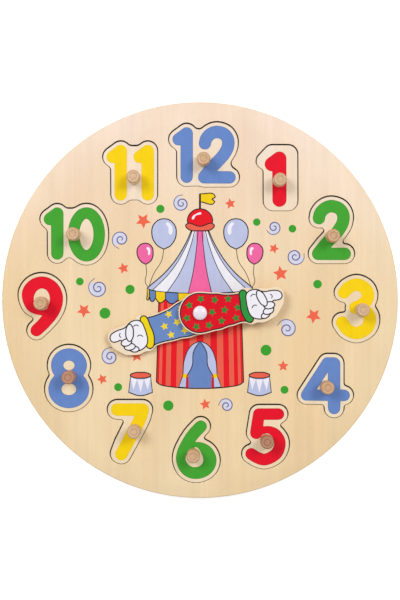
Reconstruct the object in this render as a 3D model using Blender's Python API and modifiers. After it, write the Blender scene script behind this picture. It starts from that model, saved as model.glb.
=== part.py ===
"""Wooden clock puzzle: a round board with twelve lift-out numerals and two turning hands.

Metres, +Z up. The board lies on its back, so that its face looks along +Z with twelve
o'clock towards +Y. The origin is the middle of its underside.
"""
import math

import bmesh
import bpy
import numpy as np
from mathutils import Vector

# Plywood sheets
BACK_THICKNESS = 0.0030
FACE_THICKNESS = 0.0050
HAND_THICKNESS = 0.0030
SEAT_GAP = 0.0003

# Numerals
NUMERAL_HEIGHT = 0.0438
STROKE_WIDTH = 0.0094
NUMERAL_MARGIN = 0.0027
NOTCH_RADIUS = 0.0018
PAIR_NOTCH_RADIUS = 0.0040
CUTOUT_CLEARANCE = 0.0006
INSERT_DROP = 0.0003
PAINT_THICKNESS = 0.00015
PAINT_ROOT = 0.0005

# Ring of numerals and the board round it
NUMERAL_GAP = 0.0154
HOURS = 12
RING_RADIUS = HOURS * (NUMERAL_HEIGHT + NUMERAL_GAP) / (2 * math.pi)
RIM_WIDTH = 0.0123
BOARD_RADIUS = RING_RADIUS + NUMERAL_HEIGHT / 2 + NUMERAL_MARGIN + RIM_WIDTH
BOARD_SIDES = 96

# Pegs
PEG_RADIUS = 0.0050
PEG_HEIGHT = 0.0125
PEG_ROUNDING = 0.0012
TENON_RADIUS = 0.0030
TENON_LENGTH = 0.0032
TENON_CLEARANCE = 0.0003
PEG_STEPS = 16
PEG_ROUNDING_STEPS = 2

# Hands
SHOULDER_RADIUS = 0.0144
GLOVE_LENGTH = 0.0249
HAND_BORDER = 0.0016
HAND_FILLET = 0.0080
HOUR_TIP_DISTANCE = 0.0586
MINUTE_TIP_DISTANCE = 0.0661
HOUR_ANGLE = math.radians(13.3)
MINUTE_ANGLE = math.radians(195.8)

# Pivot
PIVOT_DROP = 0.0097
PIN_RADIUS = 0.0024
PIN_CLEARANCE = 0.0003
PIN_HEAD_RADIUS = 0.0041
PIN_HEAD_THICKNESS = 0.0010
CAP_WALL = 0.0009
CAP_DOME_HEIGHT = 0.0022
SPACER_RADIUS = 0.0070
LOWER_SPACER_THICKNESS = 0.0008
UPPER_SPACER_THICKNESS = 0.0006
BACK_WASHER_RADIUS = 0.0062
BACK_WASHER_THICKNESS = 0.0009
PIVOT_STEPS = 24
CAP_DOME_STEPS = 4

# Fineness of the sawn outlines
OUTLINE_CELL = 0.0004
OUTLINE_TOLERANCE = 0.00012
MERGE_DISTANCE = 0.00001
CURVE_STEPS = 6
RING_STEPS = 48
CUT_OVERRUN = 0.0010

# Centre lines of the digits, in shares of the numeral's height from the digit's middle.
# A third number is the stroke's width there, as a share of the regular width.
DIGIT_SHARES = {
    "0": [("ring", (0, 0, 0.222, 0.371, 0.92))],
    "1": [("straight", [(-0.141, 0.272), (0, 0.376), (0, -0.376)])],
    "2": [("curved", [(-0.205, 0.190), (-0.183, 0.272), (-0.110, 0.353), (0, 0.390), (0.130, 0.350),
                      (0.197, 0.247), (0.188, 0.117), (0.128, 0.005), (0.052, -0.086),
                      (-0.093, -0.236), (-0.217, -0.391)]),
          ("straight", [(-0.217, -0.397), (0.221, -0.397)])],
    "3": [("curved", [(-0.202, 0.279), (-0.121, 0.366), (0.017, 0.417), (0.155, 0.357),
                      (0.212, 0.245), (0.181, 0.133), (0.086, 0.055), (-0.009, 0.016)]),
          ("curved", [(0, 0.016), (0.129, -0.014), (0.219, -0.095), (0.245, -0.207),
                      (0.190, -0.341), (0.026, -0.424), (-0.138, -0.367), (-0.236, -0.238)])],
    "4": [("straight", [(0.321, -0.171, 0.93), (-0.331, -0.167, 0.90), (0.030, 0.391, 0.90),
                        (0.148, 0.379), (0.148, -0.391)])],
    "5": [("straight", [(0.231, 0.393, 0.93), (-0.110, 0.393, 0.93), (-0.153, 0.069)]),
          ("curved", [(-0.145, 0.078, 0.80), (-0.067, 0.105, 0.66), (0.053, 0.124, 0.60),
                      (0.174, 0.069, 0.75), (0.248, -0.052, 0.90), (0.248, -0.181, 0.93),
                      (0.174, -0.310, 0.95), (0.002, -0.393, 0.95), (-0.140, -0.358, 0.95),
                      (-0.240, -0.295, 0.95)])],
    "6": [("curved", [(0.079, 0.398, 0.97), (-0.055, 0.257, 0.97), (-0.162, 0.102, 0.92),
                      (-0.248, -0.053, 0.80), (-0.267, -0.191, 0.76), (-0.202, -0.329, 0.84),
                      (-0.081, -0.403, 0.93), (0.074, -0.398, 0.97), (0.195, -0.312, 1.05),
                      (0.238, -0.183, 1.06), (0.195, -0.053, 0.97), (0.109, 0.041, 0.68),
                      (0.005, 0.084, 0.42), (-0.116, 0.059, 0.48)])],
    "7": [("straight", [(-0.233, 0.384), (0.212, 0.384)]),
          ("curved", [(0.212, 0.383), (0.169, 0.234), (0.065, 0.028), (-0.060, -0.205),
                      (-0.160, -0.388)])],
    "8": [("ring", (0.003, 0.224, 0.205, 0.190, 0.99)),
          ("ring", (0, -0.188, 0.242, 0.217, 1.05))],
    "9": [("curved", [(-0.105, -0.410, 0.97), (0.021, -0.290), (0.141, -0.143, 1.05),
                      (0.219, 0.003, 1.06), (0.241, 0.159, 1.06), (0.193, 0.305, 1.02),
                      (0.081, 0.400, 0.97), (-0.048, 0.417, 0.97), (-0.169, 0.357, 1.02),
                      (-0.245, 0.245, 1.02), (-0.248, 0.116, 0.90), (-0.195, -0.010, 0.74),
                      (-0.100, -0.083, 0.48), (0.003, -0.109, 0.40), (0.107, -0.083, 0.48)])],
}

# Digits of each numeral, with each one's place and size in shares of the numeral's height.
NUMERAL_DIGIT_SHARES = {
    1: [("1", 0, 0, 0.95)],
    2: [("2", 0.007, 0.003, 1.05)],
    3: [("3", 0, 0, 1)],
    4: [("4", 0, -0.012, 1)],
    5: [("5", -0.010, -0.010, 1)],
    6: [("6", 0.010, -0.005, 1)],
    7: [("7", 0, 0, 1)],
    8: [("8", -0.005, 0, 1)],
    9: [("9", -0.010, 0, 1)],
    10: [("1", -0.294, 0.015, 0.92), ("0", 0.210, 0, 1)],
    11: [("1", -0.170, 0, 1), ("1", 0.297, 0, 1)],
    12: [("1", -0.297, -0.012, 1), ("2", 0.223, 0, 1)],
}

# Stroke widths that differ from the regular one, as shares of it.
STROKE_SHARES = {1: 1.14}

# Wood kept beyond the painted strokes, drawn as strokes of the given width share.
BACKING_SHARES = {
    1: [[(-0.109, 0.422), (0.148, 0.422), (0.148, -0.378), (-0.109, -0.378), (-0.109, 0.422)],
        [(-0.260, 0.312, 0.74), (-0.131, 0.450, 0.74)]],
    5: [[(-0.060, -0.120, 0.90), (0.060, -0.120, 0.90)]],
    7: [[(0.102, 0.234), (0.002, 0.028), (-0.115, -0.205), (-0.181, -0.379)]],
    10: [[(-0.294, 0.290, 0.90), (0.100, 0.290, 0.90)], [(-0.294, -0.230), (0.100, -0.230)]],
    11: [[(-0.170, 0.305, 0.90), (0.294, 0.305, 0.90)], [(-0.170, -0.300), (0.294, -0.300)]],
    12: [[(-0.297, 0.270, 0.90), (0.120, 0.270, 0.90)], [(-0.297, -0.375), (0.100, -0.380)]],
}

# Middles of the numerals, in shares of the ring's radius from the board's middle.
PLACE_SHARES = {
    1: (0.532, 0.812), 2: (0.877, 0.472), 3: (1.043, -0.055), 4: (0.841, -0.565),
    5: (0.440, -0.910), 6: (-0.029, -0.996), 7: (-0.465, -0.880), 8: (-0.877, -0.522),
    9: (-1.051, -0.042), 10: (-0.842, 0.442), 11: (-0.465, 0.855), 12: (0.026, 0.978),
}

# Pegs, in shares of the numeral's height from its middle.
PEG_SHARES = {
    1: (-0.005, -0.030), 2: (0.015, -0.113), 3: (0.095, -0.022), 4: (0.010, -0.035),
    5: (0.015, -0.075), 6: (-0.043, -0.092), 7: (0.070, 0.025), 8: (0.010, 0.030),
    9: (-0.015, 0.058), 10: (0.000, -0.005), 11: (0.060, -0.090), 12: (-0.007, -0.102),
}

# A pointing hand seen with its finger along +X, in shares of the glove's length back from
# the middle of the fingertip. The third number is the half width.
GLOVE_SHARES = {
    "finger": [(0, 0, 0.176), (-0.410, 0.030, 0.185)],
    "palm": [(-0.040, -0.165, 0.176), (-0.270, -0.400, 0.180), (-0.550, -0.470, 0.180)],
    "fist": [(-0.560, -0.130, 0.400), (-0.520, -0.190, 0.410)],
    "cuff": [(-0.850, 0.235, 0.120), (-0.960, 0.049, 0.120), (-1.000, -0.204, 0.120),
             (-0.957, -0.419, 0.120), (-0.885, -0.510, 0.120)],
}
SLEEVE_END_SHARES = (-1.250, -0.120, 0.405)

# The sleeve from the pivot outwards, in shares of the shoulder's radius.
SLEEVE_SHARES = [(0, 0, 1), (0.840, -0.115, 0.880), (1.530, -0.190, 0.750)]

BIRCH = (0.78, 0.60, 0.40)
BACK_BIRCH = (0.70, 0.52, 0.33)
BEECH = (0.58, 0.36, 0.22)
WHITE_PLASTIC = (0.86, 0.84, 0.86)
CLEAR_NYLON = (0.75, 0.74, 0.70)
PAINTS = {
    "red": (0.77, 0.010, 0.024),
    "yellow": (0.92, 0.62, 0.010),
    "green": (0.055, 0.36, 0.035),
    "blue": (0.12, 0.24, 0.58),
}
NUMERAL_PAINTS = {
    1: "red", 2: "green", 3: "yellow", 4: "blue", 5: "red", 6: "green",
    7: "yellow", 8: "blue", 9: "red", 10: "green", 11: "yellow", 12: "blue",
}

# Heights of the stack, from the table up
BACK_TOP = BACK_THICKNESS
FACE_BOTTOM = BACK_TOP + SEAT_GAP
FACE_TOP = FACE_BOTTOM + FACE_THICKNESS
LOWER_SPACER_BOTTOM = FACE_TOP + SEAT_GAP
MINUTE_BOTTOM = LOWER_SPACER_BOTTOM + LOWER_SPACER_THICKNESS + SEAT_GAP
UPPER_SPACER_BOTTOM = MINUTE_BOTTOM + HAND_THICKNESS + SEAT_GAP
HOUR_BOTTOM = UPPER_SPACER_BOTTOM + UPPER_SPACER_THICKNESS + SEAT_GAP
PIN_HEAD_BOTTOM = HOUR_BOTTOM + HAND_THICKNESS + SEAT_GAP
PIN_HEAD_TOP = PIN_HEAD_BOTTOM + PIN_HEAD_THICKNESS
PIN_END = SEAT_GAP
BACK_WASHER_BOTTOM = 2 * SEAT_GAP
RECESS_DEPTH = BACK_WASHER_BOTTOM + BACK_WASHER_THICKNESS + SEAT_GAP
PIVOT = Vector((0, -PIVOT_DROP, 0))


def clear_scene():
    """Removes what a new Blender file starts with."""
    for item in list(bpy.data.objects):
        bpy.data.objects.remove(item)


def new_collection(name):
    """Makes a collection under the scene's own."""
    collection = bpy.data.collections.new(name)
    bpy.context.scene.collection.children.link(collection)
    return collection


def new_material(name, colour, roughness):
    """Makes a Principled material of one colour."""
    material = bpy.data.materials.new(name)
    material.use_nodes = True
    shader = material.node_tree.nodes["Principled BSDF"]
    shader.inputs["Base Color"].default_value = (*colour, 1)
    shader.inputs["Roughness"].default_value = roughness
    shader.inputs["Metallic"].default_value = 0
    material.diffuse_color = (*colour, 1)
    return material


def through_points(points):
    """Points along a smooth curve that passes through the given ones."""
    rows = [np.array(point) for point in points]
    rows = [2 * rows[0] - rows[1]] + rows + [2 * rows[-1] - rows[-2]]
    curve = []
    for before, start, end, after in zip(rows, rows[1:], rows[2:], rows[3:]):
        for step in range(CURVE_STEPS):
            t = step / CURVE_STEPS
            pull = (end - before) * t + (2 * before - 5 * start + 4 * end - after) * t ** 2
            bend = (3 * start - before - 3 * end + after) * t ** 3
            curve.append(start + (pull + bend) / 2)
    curve.append(rows[-2])
    return curve


def ring_points(middle_x, middle_y, radius_x, radius_y, width):
    """Points round an ellipse, back to the first."""
    turns = [2 * math.pi * step / RING_STEPS for step in range(RING_STEPS + 1)]
    return [(middle_x + radius_x * math.cos(turn), middle_y + radius_y * math.sin(turn), width)
            for turn in turns]


def stroke_points(shape, points):
    """One stroke's centre line in shares, each point with its width."""
    if shape == "ring":
        return ring_points(*points)
    full = [point if len(point) > 2 else (*point, 1) for point in points]
    return through_points(full) if shape == "curved" else full


def laid_out(points, length, half_width, offset=(0, 0)):
    """Turns a centre line in shares into one in metres, carried to an offset in metres."""
    return [(x * length + offset[0], y * length + offset[1], width * half_width)
            for x, y, width in points]


def field_grid(points, reach):
    """X and Y of a grid that covers the points and the given reach round them."""
    places = np.array([point[:2] for point in points])
    low = places.min(axis=0) - reach - 2 * OUTLINE_CELL
    high = places.max(axis=0) + reach + 2 * OUTLINE_CELL
    steps = np.ceil((high - low) / OUTLINE_CELL).astype(int)
    xs = low[0] + OUTLINE_CELL * np.arange(steps[0] + 1)
    ys = low[1] + OUTLINE_CELL * np.arange(steps[1] + 1)
    return np.meshgrid(xs, ys)


def distance_field(lines, grid):
    """Distance from each grid point to the nearest line's edge, negative inside its width."""
    xs, ys = grid
    field = np.full(xs.shape, np.inf)
    for line in lines:
        for (ax, ay, a_width), (bx, by, b_width) in zip(line, line[1:]):
            dx, dy = bx - ax, by - ay
            share = ((xs - ax) * dx + (ys - ay) * dy) / (dx * dx + dy * dy)
            share = np.clip(share, 0, 1)
            gap = np.hypot(xs - ax - share * dx, ys - ay - share * dy)
            field = np.minimum(field, gap - a_width - share * (b_width - a_width))
    return field


def crossing(grid, field, level, start, end):
    """Where the field passes the level between two neighbouring grid points."""
    share = (level - field[start]) / (field[end] - field[start])
    xs, ys = grid
    return (xs[start] + share * (xs[end] - xs[start]), ys[start] + share * (ys[end] - ys[start]))


def level_loops(grid, field, level):
    """Closed loops where the field has the given level, anticlockwise round what is below it."""
    below = field < level
    mixed = below[:-1, :-1].astype(int) + below[:-1, 1:] + below[1:, 1:] + below[1:, :-1]
    leaving = {}
    for row, column in np.argwhere((mixed > 0) & (mixed < 4)):
        corners = [(row, column), (row, column + 1), (row + 1, column + 1), (row + 1, column)]
        edges = list(zip(corners, corners[1:] + corners[:1]))
        crossed = [edge for edge in edges if below[edge[0]] != below[edge[1]]]
        for index, (start, end) in enumerate(crossed):
            if below[start]:
                next_start, next_end = crossed[(index + 1) % len(crossed)]
                leaving[(start, end)] = (next_end, next_start)
    loops = []
    while leaving:
        first, edge = leaving.popitem()
        loop = [crossing(grid, field, level, *first)]
        while edge != first:
            loop.append(crossing(grid, field, level, *edge))
            edge = leaving.pop(edge)
        loops.append(loop)
    return loops


def signed_area(loop):
    """Area inside a loop, positive if it runs anticlockwise."""
    return sum(ax * by - bx * ay for (ax, ay), (bx, by) in zip(loop, loop[1:] + loop[:1])) / 2


def outer_loop(loops):
    """The loop with the largest area."""
    return max(loops, key=signed_area)


def inside_loop(loop, grid):
    """Which grid points lie inside a loop."""
    xs, ys = grid
    inside = np.zeros(xs.shape, dtype=bool)
    for (ax, ay), (bx, by) in zip(loop, loop[1:] + loop[:1]):
        if ay != by:
            spans = (ay > ys) != (by > ys)
            inside ^= spans & (xs < ax + (ys - ay) * (bx - ax) / (by - ay))
    return inside


def offset_loop(loop, distance):
    """The loop moved outwards by a distance, or inwards by a negative one."""
    grid = field_grid(loop, abs(distance))
    line = [(x, y, 0) for x, y in loop + loop[:1]]
    field = distance_field([line], grid)
    field[inside_loop(loop, grid)] *= -1
    return outer_loop(level_loops(grid, field, distance))


def farthest_from_chord(points):
    """Index and distance of the point farthest from the line between the ends."""
    places = np.array(points)
    chord = places[-1] - places[0]
    offsets = places - places[0]
    gaps = np.abs(chord[0] * offsets[:, 1] - chord[1] * offsets[:, 0]) / np.hypot(*chord)
    index = int(np.argmax(gaps))
    return index, gaps[index]


def thinned(points):
    """Drops the points that lie on nearly straight stretches."""
    if len(points) < 3:
        return points
    index, gap = farthest_from_chord(points)
    if gap < OUTLINE_TOLERANCE:
        return [points[0], points[-1]]
    return thinned(points[:index + 1])[:-1] + thinned(points[index:])


def thinned_loop(loop):
    """Thins a closed loop in two halves, from its highest point and the one farthest from it."""
    first = int(np.argmax([y for x, y in loop]))
    loop = loop[first:] + loop[:first]
    gaps = np.hypot(*(np.array(loop) - loop[0]).T)
    far = int(np.argmax(gaps))
    return thinned(loop[:far + 1])[:-1] + thinned(loop[far:] + loop[:1])[:-1]


def numeral_lines(hour):
    """Centre lines of a numeral's painted strokes, round its middle."""
    half_width = STROKE_SHARES.get(hour, 1) * STROKE_WIDTH / 2
    lines = []
    for digit, across, up, size in NUMERAL_DIGIT_SHARES[hour]:
        offset = (across * NUMERAL_HEIGHT, up * NUMERAL_HEIGHT)
        for shape, points in DIGIT_SHARES[digit]:
            line = stroke_points(shape, points)
            lines.append(laid_out(line, size * NUMERAL_HEIGHT, half_width, offset))
    return lines


def backing_lines(hour):
    """Centre lines of the wood that a plate keeps beside its numeral."""
    return [laid_out(stroke_points("straight", points), NUMERAL_HEIGHT, STROKE_WIDTH / 2)
            for points in BACKING_SHARES.get(hour, [])]


def painted_loops(hour):
    """Outlines of a numeral's paint, with the holes in its digits."""
    lines = numeral_lines(hour)
    grid = field_grid(sum(lines, []), STROKE_WIDTH)
    return level_loops(grid, distance_field(lines, grid), 0)


def sawn_loop(lines, margin, notch_radius):
    """Outline at a margin round some strokes, with no inside corner tighter than the notch."""
    reach = margin + notch_radius
    widest = max(point[2] for point in sum(lines, []))
    grid = field_grid(sum(lines, []), widest + reach)
    grown = outer_loop(level_loops(grid, distance_field(lines, grid), reach))
    return offset_loop(grown, -notch_radius)


def plate_loop(hour):
    """Outline of a numeral's plate round the numeral's middle."""
    notch_radius = PAIR_NOTCH_RADIUS if len(NUMERAL_DIGIT_SHARES[hour]) > 1 else NOTCH_RADIUS
    return sawn_loop(numeral_lines(hour) + backing_lines(hour), NUMERAL_MARGIN, notch_radius)


def hand_loop(tip_distance, mirrored):
    """Outline of a hand about the pivot, with its finger along +X."""
    sleeve = laid_out(SLEEVE_SHARES, SHOULDER_RADIUS, SHOULDER_RADIUS)
    sleeve += laid_out([SLEEVE_END_SHARES], GLOVE_LENGTH, GLOVE_LENGTH, (tip_distance, 0))
    lines = [sleeve]
    for points in GLOVE_SHARES.values():
        lines.append(laid_out(points, GLOVE_LENGTH, GLOVE_LENGTH, (tip_distance, 0)))
    loop = sawn_loop(lines, HAND_BORDER, HAND_FILLET)
    return [(x, -y) for x, y in loop] if mirrored else loop


def circle_loop(middle, radius, sides):
    """Corners of a many-sided circle."""
    turns = [2 * math.pi * step / sides for step in range(sides)]
    return [(middle[0] + radius * math.cos(turn), middle[1] + radius * math.sin(turn))
            for turn in turns]


def moved_loop(loop, place):
    """A loop carried to a place."""
    return [(x + place[0], y + place[1]) for x, y in loop]


def flat_mesh(name, loops, bottom, top):
    """Mesh of a sheet sawn along the loops: the first is its edge, the others its holes."""
    curve = bpy.data.curves.new(name, "CURVE")
    curve.dimensions = "2D"
    curve.fill_mode = "BOTH"
    curve.extrude = (top - bottom) / 2
    for loop in loops:
        spline = curve.splines.new("POLY")
        spline.points.add(len(loop) - 1)
        for point, (x, y) in zip(spline.points, loop):
            point.co = (x, y, 0, 1)
        spline.use_cyclic_u = True
    guide = bpy.data.objects.new(name, curve)
    guide.location.z = (top + bottom) / 2
    bpy.context.scene.collection.objects.link(guide)
    bpy.context.view_layer.update()
    evaluated = guide.evaluated_get(bpy.context.evaluated_depsgraph_get())
    mesh = bpy.data.meshes.new_from_object(evaluated)
    mesh.transform(guide.matrix_world)
    bpy.data.objects.remove(guide)
    bpy.data.curves.remove(curve)
    shape = bmesh.new()
    shape.from_mesh(mesh)
    bmesh.ops.remove_doubles(shape, verts=shape.verts, dist=MERGE_DISTANCE)
    bmesh.ops.recalc_face_normals(shape, faces=shape.faces)
    shape.to_mesh(mesh)
    shape.free()
    return mesh


def add_part(name, mesh, collection, materials, location=(0, 0, 0), parent=None):
    """Puts a mesh in the scene as a named sub-part."""
    part = bpy.data.objects.new(name, mesh)
    mesh.name = name
    mesh.materials.clear()
    for material in materials:
        mesh.materials.append(material)
    collection.objects.link(part)
    part.location = location
    part.parent = parent
    return part


def add_empty(name, collection, location, angle=0):
    """Adds the axis that a moving body turns or slides on."""
    axis = bpy.data.objects.new(name, None)
    axis.location = location
    axis.rotation_euler.z = angle
    axis.empty_display_size = PEG_HEIGHT
    collection.objects.link(axis)
    return axis


def add_cutter(name, mesh, collection, location=(0, 0, 0), parent=None):
    """Adds a hidden shape for a Boolean."""
    cutter = bpy.data.objects.new(name, mesh)
    collection.objects.link(cutter)
    cutter.location = location
    cutter.parent = parent
    cutter.hide_render = True
    cutter.display_type = "WIRE"
    return cutter


def cylinder_mesh(name, radius, bottom, top, sides):
    """Mesh of an upright cylinder round the origin's axis."""
    mesh = bpy.data.meshes.new(name)
    shape = bmesh.new()
    bmesh.ops.create_cone(shape, cap_ends=True, segments=sides, radius1=radius, radius2=radius,
                          depth=top - bottom)
    bmesh.ops.translate(shape, verts=shape.verts, vec=(0, 0, (top + bottom) / 2))
    shape.to_mesh(mesh)
    shape.free()
    return mesh


def add_boolean(part, cutter, operation):
    """Cuts a shape out of a part, or joins it on."""
    boolean = part.modifiers.new(cutter.name, "BOOLEAN")
    boolean.object = cutter
    boolean.operation = operation
    boolean.solver = "EXACT"


def turned_mesh(name, profile):
    """Mesh of a profile's edges, each point given as radius and height, top to bottom."""
    mesh = bpy.data.meshes.new(name)
    points = [(radius, 0, height) for radius, height in profile]
    mesh.from_pydata(points, [(index, index + 1) for index in range(len(points) - 1)], [])
    return mesh


def add_turning(part, steps):
    """Turns a part's profile round its own axis."""
    screw = part.modifiers.new("turning", "SCREW")
    screw.angle = 2 * math.pi
    screw.steps = steps
    screw.render_steps = steps
    screw.use_merge_vertices = True
    screw.merge_threshold = MERGE_DISTANCE
    screw.use_smooth_shade = True


def arc_profile(middle_radius, middle_height, radius, height, start, end, steps):
    """Points of an elliptical arc in a profile, from one angle in degrees to another."""
    angles = [math.radians(start + (end - start) * step / steps) for step in range(steps + 1)]
    return [(middle_radius + radius * math.cos(angle), middle_height + height * math.sin(angle))
            for angle in angles]


def ring_profile(inner, outer, bottom, top):
    """Closed profile of a flat washer."""
    return [(inner, top), (outer, top), (outer, bottom), (inner, bottom), (inner, top)]


def make_boards(parts, cutters, birch, back_birch):
    """The face, sawn through for the numerals, and the backing that closes it."""
    loops = [circle_loop((0, 0), BOARD_RADIUS, BOARD_SIDES)]
    for hour in PLACE_SHARES:
        cutout = thinned_loop(offset_loop(plate_loop(hour), CUTOUT_CLEARANCE))
        loops.append(moved_loop(cutout, numeral_place(hour)))
    loops.append(circle_loop(PIVOT, PIN_RADIUS + PIN_CLEARANCE, PIVOT_STEPS))
    face = flat_mesh("frame_board", loops, FACE_BOTTOM, FACE_TOP)
    add_part("frame_board", face, parts, [birch])
    backing = cylinder_mesh("back_board", BOARD_RADIUS, 0, BACK_TOP, BOARD_SIDES)
    back = add_part("back_board", backing, parts, [back_birch])
    hole = cylinder_mesh("pin_hole_cutter", PIN_RADIUS + PIN_CLEARANCE, -CUT_OVERRUN,
                         BACK_TOP + CUT_OVERRUN, PIVOT_STEPS)
    recess = cylinder_mesh("washer_recess_cutter", BACK_WASHER_RADIUS + PIN_CLEARANCE,
                           -CUT_OVERRUN, RECESS_DEPTH, PIVOT_STEPS)
    for mesh in (hole, recess):
        add_boolean(back, add_cutter(mesh.name, mesh, cutters, PIVOT), "DIFFERENCE")


def numeral_place(hour):
    """Middle of a numeral's cutout on the board."""
    across, up = PLACE_SHARES[hour]
    return Vector((across * RING_RADIUS, up * RING_RADIUS, 0))


def make_insert(hour, parts, cutters, birch, paint, beech):
    """One numeral plate with its raised paint, and the peg that lifts it."""
    place = numeral_place(hour) - Vector((0, INSERT_DROP, 0))
    lift = add_empty(f"lift_{hour}", parts, place)
    outline = thinned_loop(plate_loop(hour))
    plate = add_part(f"number_{hour}", flat_mesh(f"number_{hour}", [outline], FACE_BOTTOM, FACE_TOP),
                     parts, [birch, paint], parent=lift)
    paint_top = FACE_TOP + PAINT_THICKNESS
    numeral = flat_mesh(f"paint_{hour}", [thinned_loop(loop) for loop in painted_loops(hour)],
                        FACE_TOP - PAINT_ROOT, paint_top)
    film = add_cutter(f"paint_{hour}", numeral, cutters, parent=lift)
    numeral.materials.append(birch)
    numeral.materials.append(paint)
    for polygon in numeral.polygons:
        polygon.material_index = 1
    add_boolean(plate, film, "UNION")
    across, up = PEG_SHARES[hour]
    peg_place = Vector((across * NUMERAL_HEIGHT, up * NUMERAL_HEIGHT, 0))
    socket = cylinder_mesh(f"socket_{hour}", TENON_RADIUS + TENON_CLEARANCE,
                           FACE_TOP - TENON_LENGTH, paint_top + CUT_OVERRUN, PEG_STEPS)
    add_boolean(plate, add_cutter(f"socket_{hour}", socket, cutters, peg_place, lift), "DIFFERENCE")
    seat = paint_top + SEAT_GAP
    top = seat + PEG_HEIGHT
    profile = [(0, top)]
    profile += arc_profile(PEG_RADIUS - PEG_ROUNDING, top - PEG_ROUNDING, PEG_ROUNDING,
                           PEG_ROUNDING, 90, 0, PEG_ROUNDING_STEPS)
    profile += [(PEG_RADIUS, seat), (TENON_RADIUS, seat)]
    tenon_end = FACE_TOP - TENON_LENGTH + SEAT_GAP
    profile += [(TENON_RADIUS, tenon_end), (0, tenon_end)]
    peg = add_part(f"peg_{hour}", turned_mesh(f"peg_{hour}", profile), parts, [beech], peg_place,
                   lift)
    add_turning(peg, PEG_STEPS)


def make_hand(name, tip_distance, mirrored, bottom, angle, parts, birch):
    """A pointing hand that turns on the pivot."""
    axis = add_empty(f"{name}_axis", parts, PIVOT, angle)
    hole = circle_loop((0, 0), PIN_RADIUS + PIN_CLEARANCE, PIVOT_STEPS)
    outline = thinned_loop(hand_loop(tip_distance, mirrored))
    mesh = flat_mesh(name, [outline, hole], bottom, bottom + HAND_THICKNESS)
    add_part(name, mesh, parts, [birch], parent=axis)


def make_pivot(parts, white, nylon):
    """The pin, its cap, the spacers under the hands and the washer behind the board."""
    profiles = {}
    profiles["pivot_pin"] = [(0, PIN_HEAD_TOP), (PIN_HEAD_RADIUS, PIN_HEAD_TOP),
                             (PIN_HEAD_RADIUS, PIN_HEAD_BOTTOM), (PIN_RADIUS, PIN_HEAD_BOTTOM),
                             (PIN_RADIUS, PIN_END), (0, PIN_END)]
    pocket = PIN_HEAD_RADIUS + PIN_CLEARANCE
    pocket_top = PIN_HEAD_TOP + SEAT_GAP
    cap_radius = pocket + CAP_WALL
    dome = arc_profile(0, pocket_top, cap_radius, CAP_DOME_HEIGHT, 90, 0, CAP_DOME_STEPS)
    dome[0] = (0, dome[0][1])
    profiles["pivot_cap"] = dome + [(cap_radius, PIN_HEAD_BOTTOM), (pocket, PIN_HEAD_BOTTOM),
                                    (pocket, pocket_top), (0, pocket_top)]
    hole = PIN_RADIUS + PIN_CLEARANCE
    profiles["spacer_washer_lower"] = ring_profile(
        hole, SPACER_RADIUS, LOWER_SPACER_BOTTOM, LOWER_SPACER_BOTTOM + LOWER_SPACER_THICKNESS)
    profiles["spacer_washer_upper"] = ring_profile(
        hole, SPACER_RADIUS, UPPER_SPACER_BOTTOM, UPPER_SPACER_BOTTOM + UPPER_SPACER_THICKNESS)
    profiles["back_washer"] = ring_profile(
        hole, BACK_WASHER_RADIUS, BACK_WASHER_BOTTOM, BACK_WASHER_BOTTOM + BACK_WASHER_THICKNESS)
    for name, profile in profiles.items():
        material = white if name in ("pivot_pin", "pivot_cap") else nylon
        part = add_part(name, turned_mesh(name, profile), parts, [material], PIVOT)
        add_turning(part, PIVOT_STEPS)


def main():
    """Builds the whole puzzle."""
    clear_scene()
    parts = new_collection("clock_puzzle")
    cutters = new_collection("cutters")
    birch = new_material("birch", BIRCH, 0.55)
    back_birch = new_material("back_birch", BACK_BIRCH, 0.65)
    beech = new_material("beech", BEECH, 0.60)
    white = new_material("white_plastic", WHITE_PLASTIC, 0.30)
    nylon = new_material("clear_nylon", CLEAR_NYLON, 0.40)
    paints = {name: new_material(f"{name}_paint", colour, 0.45) for name, colour in PAINTS.items()}
    make_boards(parts, cutters, birch, back_birch)
    for hour in PLACE_SHARES:
        make_insert(hour, parts, cutters, birch, paints[NUMERAL_PAINTS[hour]], beech)
    make_hand("minute_hand", MINUTE_TIP_DISTANCE, True, MINUTE_BOTTOM, MINUTE_ANGLE, parts, birch)
    make_hand("hour_hand", HOUR_TIP_DISTANCE, False, HOUR_BOTTOM, HOUR_ANGLE, parts, birch)
    make_pivot(parts, white, nylon)


main()
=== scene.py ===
# %% [markdown]
# # A wooden clock puzzle, step by step
#
# The real thing is a round plywood board with twelve numerals sawn out of it. Each numeral is a
# loose plate with a wooden peg to lift it by, and two plywood hands turn on a plastic pivot in
# the middle. Below, the plain solids of that puzzle are loaded first, and then each piece is
# given its eased edges, its print and its finish.
#
# The solids come first because they hold the true sizes. A new piece reads where it goes from
# the solid that it dresses, so nothing here has to be fitted by eye.

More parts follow.
